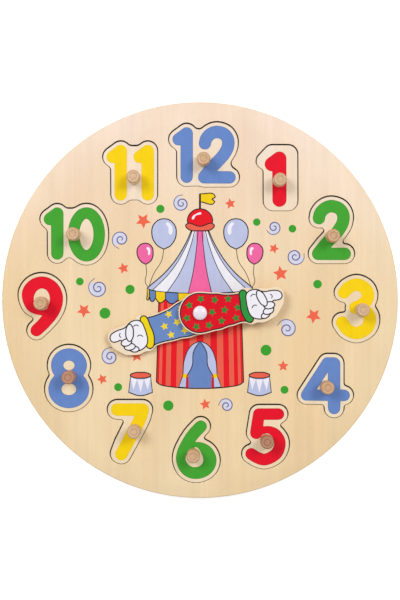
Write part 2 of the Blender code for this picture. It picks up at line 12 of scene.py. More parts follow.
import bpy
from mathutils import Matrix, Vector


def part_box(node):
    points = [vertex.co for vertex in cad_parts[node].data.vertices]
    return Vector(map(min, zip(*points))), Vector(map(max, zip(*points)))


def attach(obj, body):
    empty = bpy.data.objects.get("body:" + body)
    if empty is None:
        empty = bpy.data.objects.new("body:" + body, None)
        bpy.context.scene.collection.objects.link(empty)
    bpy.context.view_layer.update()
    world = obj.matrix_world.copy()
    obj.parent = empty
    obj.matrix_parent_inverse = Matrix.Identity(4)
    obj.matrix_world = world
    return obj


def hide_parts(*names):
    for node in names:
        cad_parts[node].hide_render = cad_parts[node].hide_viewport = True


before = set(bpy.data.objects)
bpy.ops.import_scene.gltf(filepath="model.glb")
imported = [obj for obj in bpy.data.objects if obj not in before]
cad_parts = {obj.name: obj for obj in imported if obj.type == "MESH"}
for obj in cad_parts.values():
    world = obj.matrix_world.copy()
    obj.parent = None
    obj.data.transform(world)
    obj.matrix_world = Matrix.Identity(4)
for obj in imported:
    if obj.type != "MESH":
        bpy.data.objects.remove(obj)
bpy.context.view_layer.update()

# %% Read the sizes that the pieces share
import math

import bmesh
import bpy
from mathutils import Matrix, Vector

MM = 0.001
HOURS = range(1, 13)
FACE_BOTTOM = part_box("frame_board")[0].z
FACE_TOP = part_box("frame_board")[1].z
BOARD_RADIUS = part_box("frame_board")[1].x
pin_low, pin_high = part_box("pivot_pin")
PIVOT = Vector(((pin_low.x + pin_high.x) / 2, (pin_low.y + pin_high.y) / 2, 0))
print("board radius", round(BOARD_RADIUS, 4), "face", round(FACE_TOP, 4), "pivot", PIVOT)

# %% [markdown]
# ## Camera and light
#
# The puzzle is seen from straight above, with a soft lamp to each side beyond twelve o'clock.
# That is why each peg has two faint shadows. A sun lamp would be quicker to set up, but its
# shadows are hard, so two large square lamps stand in for the studio's softboxes. They are far
# off, so that the top and the foot of the dial are nearly as bright.

# %% The camera over the board
VIEW_DISTANCE = 0.9
SENSOR = 36.0
LENS = 71.3

bpy.ops.object.camera_add(location=(0, 0, FACE_TOP + VIEW_DISTANCE), rotation=(0, 0, 0))
camera = bpy.context.object
camera.name = "overhead_camera"
camera.data.sensor_fit = "VERTICAL"
camera.data.sensor_height = SENSOR
camera.data.lens = LENS
bpy.context.scene.camera = camera
bpy.context.scene.view_settings.view_transform = "Standard"
print("camera height", round(camera.location.z, 4))

# %% Two soft lamps
LAMP_SIZE = 1.1
LAMP_WATTS = 30.5
LAMP_SPREAD = 1.5
LAMP_BACK = 1.1
LAMP_HEIGHT = 2.3

for side in (-1, 1):
    place = Vector((side * LAMP_SPREAD, LAMP_BACK, LAMP_HEIGHT))
    bpy.ops.object.light_add(type="AREA", location=place)
    lamp = bpy.context.object
    lamp.name = "softbox_left" if side < 0 else "softbox_right"
    lamp.data.shape = "SQUARE"
    lamp.data.size = LAMP_SIZE
    lamp.data.energy = LAMP_WATTS
    lamp.rotation_euler = (-place).to_track_quat("-Z", "Y").to_euler()
print("lamps:", [light.name for light in bpy.data.lights])

# %% [markdown]
# ## A small language for shaders
#
# A node tree is easier to read as sums. `Value` wraps one output socket, and its operators add
# Math nodes, so `1 - mask` or `grain * 0.2` can be written as they are. Everything that isn't a
# sum comes from one method, `Nodes.node`, which takes the kind of node, its settings and what
# goes into its sockets. `Finish` adds what every material on the puzzle needs.

# %% Values and finishes
class Value:
    """An output socket that Python's operators can do sums with."""

    def __init__(self, nodes, socket):
        self.nodes = nodes
        self.socket = socket

    def __add__(self, other):
        return self.nodes.sum_of("ADD", self, other)

    def __sub__(self, other):
        return self.nodes.sum_of("SUBTRACT", self, other)

    def __rsub__(self, other):
        return self.nodes.sum_of("SUBTRACT", other, self)

    def __mul__(self, other):
        return self.nodes.sum_of("MULTIPLY", self, other)

    def __truediv__(self, other):
        return self.nodes.sum_of("DIVIDE", self, other)

    __radd__ = __add__
    __rmul__ = __mul__

    def between(self, low, high):
        """Rises smoothly from 0 to 1 as the value goes from low to high."""
        settings = {"interpolation_type": "SMOOTHSTEP"}
        return self.nodes.node("ShaderNodeMapRange", settings, {0: self, 1: low, 2: high})


class Nodes:
    """A node tree that is filled by writing sums."""

    def __init__(self, tree):
        self.tree = tree

    def connect(self, value, socket):
        if isinstance(value, Value):
            self.tree.links.new(value.socket, socket)
        else:
            socket.default_value = value

    def node(self, kind, settings, inputs, output=0):
        """Adds one node: its settings are set first, and then its sockets."""
        node = self.tree.nodes.new(kind)
        for name, value in settings.items():
            setattr(node, name, value)
        for name, value in inputs.items():
            self.connect(value, node.inputs[name])
        return Value(self, node.outputs[output])

    def sum_of(self, operation, *values):
        """A Math node, by the name of its operation."""
        return self.node("ShaderNodeMath", {"operation": operation}, dict(enumerate(values)))

    def seen_directly(self):
        """1 for the rays of the camera, of mirrors and of glass, and 0 for the others."""
        rays = [self.node("ShaderNodeLightPath", {}, {}, output="Is %s Ray" % kind)
                for kind in ("Camera", "Glossy", "Transmission")]
        return self.sum_of("MAXIMUM", rays[0], self.sum_of("MAXIMUM", rays[1], rays[2]))


class Finish(Nodes):
    """A material with a Principled shader, and the nodes that lead to it."""

    def __init__(self, name, **constants):
        self.material = bpy.data.materials.new(name)
        self.material.use_nodes = True
        super().__init__(self.material.node_tree)
        self.shader = self.tree.nodes["Principled BSDF"]
        for socket, value in constants.items():
            self.shader.inputs[socket.replace("_", " ")].default_value = value
        self.place = self.node("ShaderNodeTexCoord", {}, {}, output="Object")

    def axis(self, letter):
        """The X, Y or Z of the point on the piece, in metres."""
        return self.node("ShaderNodeSeparateXYZ", {}, {0: self.place}, output=letter)

    def noise(self, stretch, shift=(0, 0, 0), detail=3, rough=0.5):
        """Cloudy values round 0.5, with so many clouds to the metre each way."""
        place = self.node("ShaderNodeMapping", {}, {0: self.place, 1: shift, 3: stretch})
        inputs = {"Vector": place, "Scale": 1, "Detail": detail, "Roughness": rough}
        return self.node("ShaderNodeTexNoise", {}, inputs)

    def mix(self, factor, first, second, blend="MIX"):
        """Blends two colours."""
        settings = {"data_type": "RGBA", "blend_type": blend}
        return self.node("ShaderNodeMix", settings, {0: factor, 6: first, 7: second}, output=2)

    def finish(self, colour, roughness, height, depth, strength=1):
        """Connects what varies over the surface, with a relief of the given depth."""
        self.connect(colour, self.shader.inputs["Base Color"])
        self.connect(roughness, self.shader.inputs["Roughness"])
        bump = {"Height": height, "Distance": depth, "Strength": strength}
        self.connect(self.node("ShaderNodeBump", {}, bump), self.shader.inputs["Normal"])
        return self.material


def shade(red, green, blue):
    """A colour as written on screen, in the linear numbers that shaders use."""
    return tuple(((part / 255 + 0.055) / 1.055) ** 2.4 for part in (red, green, blue)) + (1,)


print("a mid grey is", [round(part, 3) for part in shade(128, 128, 128)])

# %% [markdown]
# ## A white floor
#
# The floor must look pure white without more light on the wood. A brighter lamp would bleach the
# dial, so the floor's material adds a little glow that only the camera and mirrors see, and the
# light that falls on it still fades where the board shades it. The world does the same: it fills
# the shadows softly, and shows itself as white.

# %% The floor and the world
FLOOR_DROP = 0.2 * MM
FLOOR_RADIUS = 1.2
FLOOR_GLOW = 0.6
FILL = 0.46

bpy.ops.mesh.primitive_circle_add(vertices=64, radius=FLOOR_RADIUS, fill_type="NGON",
                                  location=(0, 0, -FLOOR_DROP))
floor = bpy.context.object
floor.name = "floor"
paper = Finish("white_floor", Base_Color=(0.8, 0.8, 0.8, 1), Roughness=0.9)
glow = paper.node("ShaderNodeEmission", {}, {"Strength": paper.seen_directly() * FLOOR_GLOW})
lit = paper.node("ShaderNodeAddShader", {}, {0: glow, 1: Value(paper, paper.shader.outputs[0])})
paper.connect(lit, paper.tree.nodes["Material Output"].inputs["Surface"])
floor.data.materials.append(paper.material)

world = bpy.context.scene.world or bpy.data.worlds.new("studio")
bpy.context.scene.world = world
world.use_nodes = True
studio = Nodes(world.node_tree)
background = world.node_tree.nodes["Background"]
background.inputs["Color"].default_value = (1, 1, 1, 1)
studio.connect(studio.seen_directly() * (1 - FILL) + FILL, background.inputs["Strength"])
print("floor at", round(floor.location.z, 5), "world fill", FILL)

# %% [markdown]
# ## Birch plywood
#
# The board is peeled birch: pale, with fine lines that run up and down the dial, bands about 4 mm
# wide, soft stripes about 20 mm wide, slow clouds of warmer and cooler wood, and short pores. Its
# top is painted a little lighter and pinker and its foot a little yellower. That is painted light,
# the fall of the light across the dial, and not the veneer. An image of wood would do the grain at
# once, but it would repeat and blur. Noise that is stretched along Y gives the same grain at any
# size, and it goes through the whole thickness, as real grain does.
# Each of these has its own strength, so that none of them makes the wood look striped.
#
# The sawn edges show the plies. A ply is one layer of the sheet, and every second one lies across
# the others, so the same noise is used twice, once along each axis. A laser cuts the numerals,
# which leaves their edges and the walls round them charred. The upper side of each cut is also
# painted black, which is painted shade: the dark of the narrow gap at the top of each numeral. Its
# foot stays nearly clean. That dark line round each numeral is charring and painted shade, and the
# shader finds it from the way a point faces.

# %% The face of the veneer
LINE_TONE = 0.1
BAND_TONE = 0.13
STRIPE_TONE = 0.14
PORE_TONE = 0.08


def birch(name, top, bottom, shift=(0, 0, 0), contrast=1.0):
    """Varnished birch veneer with its grain along Y, with painted light from the top colour up the
    dial to the bottom one at its foot.
    """
    wood = Finish(name, Coat_Weight=0.08, Coat_Roughness=0.45, Specular_IOR_Level=0.3)
    lines = wood.noise((1100, 16, 60), shift, detail=4, rough=0.6)
    bands = wood.noise((230, 5, 10), shift, detail=3)
    stripes = wood.noise((48, 7, 10), shift, detail=1)
    clouds = wood.noise((17, 9, 10), shift, detail=2)
    pores = wood.noise((3200, 210, 200), shift, detail=1).between(0.62, 0.74)
    # Painted light: lighter and pinker towards the top of the dial, yellower at its foot.
    painted_light_lift = wood.axis("Y").between(-0.1 * BOARD_RADIUS, BOARD_RADIUS)
    ground = wood.mix(painted_light_lift, bottom, top)
    warm = wood.mix(1, ground, shade(250, 243, 233), "MULTIPLY")
    ground = wood.mix(clouds.between(0.3, 0.7), ground, warm)
    streaks = (lines - 0.5) * LINE_TONE + (bands - 0.5) * BAND_TONE + (stripes - 0.5) * STRIPE_TONE
    tone = 1 + (streaks - pores * PORE_TONE) * contrast
    colour = wood.mix(1, ground, tone, "MULTIPLY")
    cell = wood.node("ShaderNodeTexVoronoi", {}, {"Vector": wood.place, "Scale": 34})
    speck = (1 - cell.between(0.012, 0.026)) * clouds.between(0.5, 0.56)
    colour = wood.mix(speck * 0.7, colour, shade(120, 84, 52))
    roughness = 0.5 + (lines - 0.5) * 0.2 + pores * 0.2
    return wood.finish(colour, roughness, lines * 0.6 - pores * 0.5, 0.05 * MM, 0.5)


# Each birch's first colour is its painted-light top, lighter, and its second is its foot.
FACE_BIRCH = birch("face_birch", shade(246, 224, 205), shade(242, 217, 176))
PLATE_BIRCH = birch("plate_birch", shade(246, 229, 212), shade(241, 222, 190), (31, 7, 0))
HAND_BIRCH = birch("hand_birch", shade(248, 232, 210), shade(243, 223, 194), (53, 17, 0))
BACK_BIRCH = birch("back_birch", shade(231, 204, 168), shade(222, 190, 148), (7, 71, 3), 1.5)
print("birch finishes:", FACE_BIRCH.name, PLATE_BIRCH.name, HAND_BIRCH.name, BACK_BIRCH.name)


# %% The plies on an edge
# The painted shade on the upper side of a cut: how black it is, and the span of the normal's Y over
# which it comes in.
GAP_SHADE_BLACK = 0.98
GAP_SHADE_SIDE = (-0.45, 0.1)
FACE_PLIES = 5
THIN_PLIES = 3
RIM_BURNT = 0.12
WALL_BURNT = 0.35


def plies(name, bottom, top, count, char_and_shade, up=0):
    """The sawn edge of a sheet with so many plies, charred by so much, and with painted shade,
    black, on its upper side, where the gap beside the cut lies in shadow.

    The upper side of the cut faces up on a numeral, where up is 1, and down on the board, -1.
    """
    edge = Finish(name)
    # Painted shade: the upper side of the cut is painted black, for the dark gap at the top of a
    # numeral.
    if up:
        facing = edge.node("ShaderNodeNewGeometry", {}, {}, output="Normal")
        facing = edge.node("ShaderNodeSeparateXYZ", {}, {0: facing}, output="Y") * up
        char_and_shade = char_and_shade + facing.between(*GAP_SHADE_SIDE) * (GAP_SHADE_BLACK - char_and_shade)
    depth = (edge.axis("Z") - bottom) / ((top - bottom) / count)
    crossed = edge.sum_of("FLOORED_MODULO", edge.sum_of("FLOOR", depth), 2)
    along = edge.noise((1100, 30, 900), detail=3)
    across = edge.noise((30, 1100, 900), detail=3)
    grain = along + (across - along) * crossed
    part = edge.sum_of("FRACT", depth)
    glue = edge.sum_of("ABSOLUTE", part - 0.5).between(0.43, 0.48)
    wood = edge.mix(crossed, shade(232, 203, 160), shade(205, 165, 118))
    wood = edge.mix(1, wood, 1 + (grain - 0.5) * 0.5, "MULTIPLY")
    wood = edge.mix(glue * 0.55, wood, shade(96, 62, 38))
    soot = edge.noise((90, 90, 400), detail=4)
    char_and_shade_colour = edge.mix(soot.between(0.35, 0.7), shade(12, 8, 7), shade(36, 24, 17))
    colour = edge.mix(char_and_shade, wood, char_and_shade_colour)
    return edge.finish(colour, 0.62 + (grain - 0.5) * 0.3, grain - glue, 0.08 * MM, 0.8)


FACE_SHEET = (FACE_BOTTOM, FACE_TOP, FACE_PLIES)
FACE_EDGE = plies("face_edge", *FACE_SHEET, RIM_BURNT)
BACK_EDGE = plies("back_edge", 0, FACE_BOTTOM, THIN_PLIES, RIM_BURNT)
# Cutout and plate walls are charred, and their upper side, corner included, also has painted shade.
CUTOUT_WALL = plies("cutout_wall", *FACE_SHEET, WALL_BURNT, -1)
CUTOUT_SHADED_CORNER = plies("cutout_corner", *FACE_SHEET, 0, -1)
PLATE_WALL = plies("plate_wall", *FACE_SHEET, WALL_BURNT, 1)
PLATE_SHADED_CORNER = plies("plate_corner", *FACE_SHEET, 0, 1)
print("a ply of the face is", round((FACE_TOP - FACE_BOTTOM) / FACE_PLIES / MM, 2), "mm thick")

# %% [markdown]
# ## Sawn sheets
#
# The boards, the numeral plates and the hands are all flat sheets with a sawn outline. Their
# outlines are already right in the solids, so a copy of a solid's mesh is the best start. It
# comes as loose triangles: merging the doubles closes it, and Limited Dissolve turns each flat
# side back into one large face. What the solid lacks is the sanded edge. A narrow Bevel on
# the square corners gives the thin bright line that tells the eye that it is wood and not card.

# %% Picking, selecting and finishing a piece
MERGE = 0.01 * MM
FINE_MERGE = MERGE / 5
ONE_PLANE = math.radians(1)
ONE_LINE = math.radians(0.5)
SQUARE_CORNER = math.radians(60)
SMOOTH_BELOW = math.radians(35)
# The Z of a face's normal: 1 on a level face, and 0 on an upright one.
LEVEL = 0.9
UPWARD = 0.5
SLOPED = 0.3


def pick(piece):
    """Makes a piece the only one that an operator acts on."""
    bpy.ops.object.select_all(action="DESELECT")
    piece.select_set(True)
    bpy.context.view_layer.objects.active = piece
    return piece


def edit(piece, chosen):
    """Enters edit mode with only the chosen faces selected."""
    pick(piece)
    bpy.ops.object.mode_set(mode="EDIT")
    bpy.ops.mesh.select_mode(type="FACE")
    bpy.ops.mesh.select_all(action="DESELECT")
    mesh = bmesh.from_edit_mesh(piece.data)
    for face in mesh.faces:
        if chosen(face):
            face.select_set(True)
    bmesh.update_edit_mesh(piece.data)


def leave_edit():
    bpy.ops.object.mode_set(mode="OBJECT")


def everything(face):
    return True


def apply_modifier(piece, kind, **settings):
    """Adds a modifier to a piece and applies it at once."""
    modifier = pick(piece).modifiers.new(kind.lower(), kind)
    for name, value in settings.items():
        setattr(modifier, name, value)
    bpy.ops.object.modifier_apply(modifier=modifier.name)


def ease_edges(piece, width, segments=1):
    """Takes the square corners off a sheet, and shades its curved outline smooth."""
    apply_modifier(piece, "BEVEL", width=width, segments=segments, limit_method="ANGLE",
                   angle_limit=SQUARE_CORNER)
    bpy.ops.object.shade_smooth_by_angle(angle=SMOOTH_BELOW)


def shade_turned(piece):
    """Shades a turned piece so that its flats stay flat and only its roundings bend the light."""
    pick(piece)
    bpy.ops.object.shade_smooth_by_angle(angle=SMOOTH_BELOW)
    apply_modifier(piece, "WEIGHTED_NORMAL", keep_sharp=True)


def dress(piece, body, slot=None, nodes=()):
    """Hangs a finished piece on its body and hides the solids it stands for."""
    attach(piece, body)
    if nodes:
        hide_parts(*nodes)


def coat(piece, finishes, choose=lambda polygon: 0):
    """Gives each face the finish whose number the choice returns, or else the first."""
    piece.data.materials.clear()
    for finish in finishes:
        piece.data.materials.append(finish)
    for polygon in piece.data.polygons:
        polygon.material_index = choose(polygon)


def copy_solid(node, name):
    """A new piece from a solid's triangles, closed and with its flat sides made whole."""
    piece = bpy.data.objects.new(name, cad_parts[node].data.copy())
    piece.data.name = name
    bpy.context.scene.collection.objects.link(piece)
    edit(piece, everything)
    bpy.ops.mesh.customdata_custom_splitnormals_clear()
    bpy.ops.mesh.remove_doubles(threshold=MERGE)
    bpy.ops.mesh.dissolve_limited(angle_limit=ONE_PLANE)
    leave_edit()
    return piece


# %% [markdown]
# A saw follows a smooth line, and the outlines of the solids are short straight chords. So the
# outline of a sheet's level face is taken off as edges, its corners are rounded, and it is made a
# flat curve, which Blender fills with its holes left open and pulls to a thickness. Bevel rounds
# the corners. One width for all of them would be too much for short chords and too little for
# long ones, so each corner has a bevel weight, which scales the width. A sharp corner is only
# broken a little. The hands have no sharp corners, so a Bezier curve may bend their chords.

# %% From a level face to a smooth sheet
CHORD_ROUNDING = 0.8 * MM
CORNER_ROUNDING = 0.3 * MM
CHORD_SHARE = 0.45
CORNER_TURN = math.radians(40)
CHORD_CUTS = 4
CHORD_SEGMENTS = 3
TINY_CHORD = 0.1 * MM
RIM_INSIDE = BOARD_RADIUS - 0.1 * MM
RIM_CUTS = 3


def keep_faces(piece, chosen):
    """Deletes all of a piece but the chosen faces."""
    edit(piece, lambda face: not chosen(face))
    bpy.ops.mesh.delete(type="FACE")
    leave_edit()


def top_face(node):
    """Finds the level faces at the top of a solid."""
    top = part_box(node)[1].z
    return lambda face: face.normal.z > UPWARD and face.calc_center_median().z > top - MERGE


def outline_of(piece, chosen):
    """Leaves only the outline of the chosen level faces, as edges."""
    keep_faces(piece, chosen)
    edit(piece, everything)
    bpy.ops.mesh.select_mode(type="EDGE")
    bpy.ops.mesh.region_to_loop()
    bpy.ops.mesh.select_all(action="INVERT")
    bpy.ops.mesh.delete(type="EDGE")
    bpy.ops.mesh.select_all(action="SELECT")
    bpy.ops.mesh.delete(type="ONLY_FACE")
    bpy.ops.mesh.select_all(action="SELECT")
    bpy.ops.mesh.remove_doubles(threshold=TINY_CHORD)
    leave_edit()


def round_chords(piece):
    """Rounds each corner of an outline by a share of the shorter chord beside it."""
    mesh = bmesh.new()
    mesh.from_mesh(piece.data)
    weights = mesh.verts.layers.float.new("bevel_weight_vert")
    for corner in mesh.verts:
        if corner.co.xy.length > RIM_INSIDE:
            continue
        before, after = (edge.other_vert(corner).co - corner.co for edge in corner.link_edges)
        sharp = math.pi - before.angle(after) > CORNER_TURN
        most = CORNER_ROUNDING if sharp else CHORD_ROUNDING
        share = CHORD_SHARE * min(before.length, after.length)
        corner[weights] = min(share, most) / CHORD_ROUNDING
    mesh.to_mesh(piece.data)
    mesh.free()
    apply_modifier(piece, "BEVEL", affect="VERTICES", width=CHORD_ROUNDING,
                   segments=CHORD_SEGMENTS, limit_method="WEIGHT")


def fill_outline(piece, bottom, top, bend=False):
    """Fills an outline between two heights. Its chords are first bent where asked."""
    pick(piece)
    bpy.ops.object.convert(target="CURVE")
    outline = piece.data
    outline.dimensions = "2D"
    outline.fill_mode = "BOTH"
    outline.extrude = (top - bottom) / 2
    if bend:
        bpy.ops.object.mode_set(mode="EDIT")
        bpy.ops.curve.select_all(action="SELECT")
        bpy.ops.curve.spline_type_set(type="BEZIER")
        bpy.ops.curve.handle_type_set(type="AUTOMATIC")
        leave_edit()
        outline.resolution_u = CHORD_CUTS
        for spline in outline.splines:
            spline.resolution_u = CHORD_CUTS
    bpy.ops.object.convert(target="MESH")
    edit(piece, everything)
    bpy.ops.transform.translate(value=(0, 0, (top + bottom) / 2))
    bpy.ops.mesh.remove_doubles(threshold=FINE_MERGE)
    bpy.ops.mesh.dissolve_limited(angle_limit=ONE_LINE)
    bpy.ops.mesh.normals_make_consistent(inside=False)
    leave_edit()


def select_rim(piece, chosen=lambda height: True):
    """Selects the level edges of the board's rim at the chosen heights."""
    edit(piece, lambda face: False)
    bpy.ops.mesh.select_mode(type="EDGE")
    mesh = bmesh.from_edit_mesh(piece.data)
    for edge in mesh.edges:
        foot, head = (corner.co for corner in edge.verts)
        outer = min(foot.xy.length, head.xy.length) > RIM_INSIDE
        edge.select_set(outer and abs(foot.z - head.z) < MERGE and chosen(foot.z))
    bmesh.update_edit_mesh(piece.data)


def round_rim(piece):
    """Cuts each side of the board's many-sided rim in four and moves the cuts out to the circle."""
    select_rim(piece)
    bpy.ops.mesh.subdivide(number_cuts=RIM_CUTS)
    mesh = bmesh.from_edit_mesh(piece.data)
    for corner in mesh.verts:
        if corner.select:
            corner.co.xy *= BOARD_RADIUS / corner.co.xy.length
    bmesh.update_edit_mesh(piece.data)
    leave_edit()


print("chords are rounded by up to", round(CHORD_ROUNDING / MM, 2), "mm")

# %% [markdown]
# ## The board
#
# The rim of the solids has 96 flat sides, which show as corners against a white floor. Subdivide
# cuts each side in four, and the cuts are moved out to the circle. The upper edge of the rim
# gets a wider round than the sawn edges of the cutouts, so it is bevelled by itself first, in
# three steps, and Bevel then eases the corners that are left. A bevel weight on the rim would do
# both at once, but two passes are easier to follow.
#
# The backing keeps the shape of its solid, with the recess for the washer in its underside. Its
# top is pulled up to the face, because glue holds the real sheets together without a gap.

# %% The face and the backing of the board
BACK_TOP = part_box("back_board")[1].z
EASED = 0.3 * MM
RIM_ROUNDING = 0.9 * MM
RIM_SEGMENTS = 3
RIM_BAND = 1.5 * MM
GLUE_LINE = 0.02 * MM
CORNER_FACES_DOWN = -0.2


def flat(polygon):
    """Whether a face lies level, or is the slope between a level face and a side."""
    return abs(polygon.normal.z) > SLOPED


def corner(polygon):
    """Whether a face is the slope at the upper corner of a sawn edge."""
    return SLOPED < polygon.normal.z < LEVEL


def sheet_finish(polygon):
    """Veneer on the level faces, and plies on the side."""
    return 0 if flat(polygon) else 1


def board_finish(polygon):
    """Veneer on the level faces, plies on the rim, and charred wood with painted shade in the
    cutouts.
    """
    if polygon.center.xy.length > BOARD_RADIUS - RIM_BAND:
        return 0 if abs(polygon.normal.z) > LEVEL else 1
    # A corner that faces down the dial takes painted shade, black, for the gap above a numeral.
    if corner(polygon) and polygon.normal.y < CORNER_FACES_DOWN:
        return 3
    return 0 if flat(polygon) else 2


face_sheet = copy_solid("frame_board", "face_sheet")
outline_of(face_sheet, top_face("frame_board"))
round_rim(face_sheet)
round_chords(face_sheet)
fill_outline(face_sheet, FACE_BOTTOM, FACE_TOP)
select_rim(face_sheet, lambda height: height > FACE_TOP - MERGE)
bpy.ops.mesh.bevel(offset=RIM_ROUNDING, segments=RIM_SEGMENTS, affect="EDGES")
leave_edit()
ease_edges(face_sheet, EASED)
coat(face_sheet, [FACE_BIRCH, FACE_EDGE, CUTOUT_WALL, CUTOUT_SHADED_CORNER], board_finish)
dress(face_sheet, "board", "face_birch", ["frame_board"])
back_sheet = copy_solid("back_board", "back_sheet")
edit(back_sheet, lambda face: face.calc_center_median().z > BACK_TOP - MERGE)
bpy.ops.transform.translate(value=(0, 0, FACE_BOTTOM - GLUE_LINE - BACK_TOP))
leave_edit()
round_rim(back_sheet)
ease_edges(back_sheet, EASED)
coat(back_sheet, [BACK_BIRCH, BACK_EDGE], sheet_finish)
dress(back_sheet, "board", "back_birch", ["back_board"])
print("board faces:", len(face_sheet.data.polygons), "and", len(back_sheet.data.polygons))

# %% [markdown]
# ## Numeral plates and their print
#
# Each numeral is a plate of the same birch, with a margin of bare wood round its print. The plate
# is made from the outline of its solid's underside, and filled up to the height of the board's
# face. The print is made the same way from the top of the raised numeral, but it is only a film
# of ink, and Inset gives it the deeper rim where the ink has gathered. The top of the solid has a
# hole for the peg's tenon. The peg covers that hole, so the outline's points on it are deleted,
# and the film simply runs on under the peg.
#
# A texture could draw the numeral on the plate. A thin film keeps its edge sharp at any size, and
# it catches the light at its rim as thick screen ink does.

# %% Printing inks
def ink(name, colour, shine=0.42):
    """Screen ink on birch: the grain shows through a little, and the cover isn't quite even."""
    paint = Finish(name, Specular_IOR_Level=0.14)
    lines = paint.noise((1300, 22, 60), detail=3)
    blots = paint.noise((170, 120, 100), detail=3)
    pores = paint.noise((3200, 210, 200), detail=1).between(0.66, 0.78)
    tone = 1 + (lines - 0.5) * 0.12 + (blots - 0.5) * 0.14 - pores * 0.10
    colour = paint.mix(1, colour, tone, "MULTIPLY")
    return paint.finish(colour, shine + (blots - 0.5) * 0.2, lines * 0.5 - pores, 0.03 * MM, 0.5)


NUMERAL_COLOURS = (("red", shade(232, 12, 40)), ("green", shade(66, 164, 48)),
                   ("yellow", shade(249, 211, 6)), ("blue", shade(103, 136, 200)))
RIM_TONE = (0.66, 0.72, 0.9, 0.78)
NUMERAL_INKS = []
for (name, colour), tone in zip(NUMERAL_COLOURS, RIM_TONE):
    deeper = tuple(part * tone for part in colour[:3]) + (1,)
    NUMERAL_INKS.append((name, ink("numeral_" + name, colour), ink(name + "_rim", deeper)))
print("inks:", [name for name, _, _ in NUMERAL_INKS])


# %% Plates and films from the solids
FILM_THICKNESS = 0.07 * MM
FILM_SUNK = 0.02 * MM
PLATE_EASED = 0.3 * MM
FILM_EASED = 0.03 * MM
INK_RIM = 0.4 * MM
TENON_SHARE = 0.7


def underside(face):
    return face.normal.z < -UPWARD and face.calc_center_median().z < FACE_BOTTOM + MERGE


def close_tenon_hole(film, hour):
    """Lets the ink run on under a peg: the points on the rim of its tenon's hole are deleted."""
    low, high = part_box("peg_%d" % hour)
    middle, reach = (low + high).xy / 2, (high.x - low.x) / 2 * TENON_SHARE
    pick(film)
    bpy.ops.object.convert(target="CURVE")
    bpy.ops.object.mode_set(mode="EDIT")
    bpy.ops.curve.select_all(action="DESELECT")
    for spline in film.data.splines:
        near = [(point.co.xy - middle).length < reach for point in spline.points]
        for number, point in enumerate(spline.points):
            point.select = near[number - 1] and near[number] and near[(number + 1) % len(near)]
    bpy.ops.curve.delete(type="VERT")
    leave_edit()
    bpy.ops.object.convert(target="MESH")


def plate_finish(polygon):
    """Veneer on the level faces, and charred wood with painted shade on the sawn edge and its
    corner.
    """
    if corner(polygon):
        return 2
    return sheet_finish(polygon)


for hour in HOURS:
    node = "number_%d" % hour
    plate = copy_solid(node, "plate_%d" % hour)
    outline_of(plate, underside)
    round_chords(plate)
    fill_outline(plate, FACE_BOTTOM, FACE_TOP)
    ease_edges(plate, PLATE_EASED)
    coat(plate, [PLATE_BIRCH, PLATE_WALL, PLATE_SHADED_CORNER], plate_finish)
    dress(plate, "numeral_%d" % hour, "face_birch", [node])

    film = copy_solid(node, "numeral_print_%d" % hour)
    outline_of(film, top_face(node))
    close_tenon_hole(film, hour)
    round_chords(film)
    fill_outline(film, FACE_TOP - FILM_SUNK, FACE_TOP + FILM_THICKNESS)
    ease_edges(film, FILM_EASED)
    edit(film, lambda face: face.normal.z > LEVEL)
    bpy.ops.mesh.inset(thickness=INK_RIM, use_even_offset=False)
    leave_edit()
    name, paint, rim_paint = NUMERAL_INKS[(hour - 1) % len(NUMERAL_INKS)]
    coat(film, [paint, rim_paint], lambda polygon: 0 if polygon.select else 1)
    dress(film, "numeral_%d" % hour, name + "_numeral")

# %% [markdown]
# ## Pegs
#
# A peg is a short length of beech dowel with a rounded top, glued and pinned into its plate. It
# could be spun from a profile. A cylinder with a bevelled rim gives the same form in two steps,
# and its top can then be inset, for the shallow dish that the lathe leaves with a low nub in the
# middle. Each of the two takes a level ring and then a sloping one. One peg is
# modelled and copied twelve times, each with its own mesh, so that each can sit at its own place
# and still have its object at the origin.
#
# Beech has short dark flecks along the grain and fine pores at its ends. The grain of a dowel
# runs up it, so the noise is stretched along Z, and the ends show it as dots. Two of the pegs
# are of steamed beech, which is browner.

# %% Beech
def beech(name, light, dark):
    """Turned beech with its grain along Z, a little different at each place on the dial."""
    wood = Finish(name, Coat_Weight=0.1, Coat_Roughness=0.35)
    fibres = wood.noise((1500, 1500, 55), detail=4, rough=0.6)
    rings = wood.noise((320, 950, 18), (3, 5, 0), detail=2)
    flecks = wood.noise((2600, 700, 260), detail=1).between(0.62, 0.7)
    batch = wood.noise((16, 16, 0), (2, 9, 4), detail=0).between(0.36, 0.62)
    colour = wood.mix(batch, light, dark)
    tone = 1 + (fibres - 0.5) * 0.36 + (rings - 0.5) * 0.5 - flecks * 0.2
    colour = wood.mix(1, colour, tone, "MULTIPLY")
    height = fibres * 0.6 + rings * 0.3 - flecks * 0.4
    return wood.finish(colour, 0.42 + (fibres - 0.5) * 0.25, height, 0.06 * MM, 0.7)


PEG_BEECH = beech("peg_beech", shade(216, 182, 143), shade(205, 164, 123))
# The groove finishes are darker beech: painted shade in the shallow groove of each peg's dish.
PEG_GROOVE_SHADE = beech("peg_groove", shade(202, 163, 126), shade(188, 143, 104))
STEAMED_BEECH = beech("steamed_beech", shade(187, 137, 106), shade(179, 125, 94))
STEAMED_GROOVE_SHADE = beech("steamed_groove", shade(164, 113, 86), shade(154, 100, 73))
print("peg finishes:", PEG_BEECH.name, STEAMED_BEECH.name)

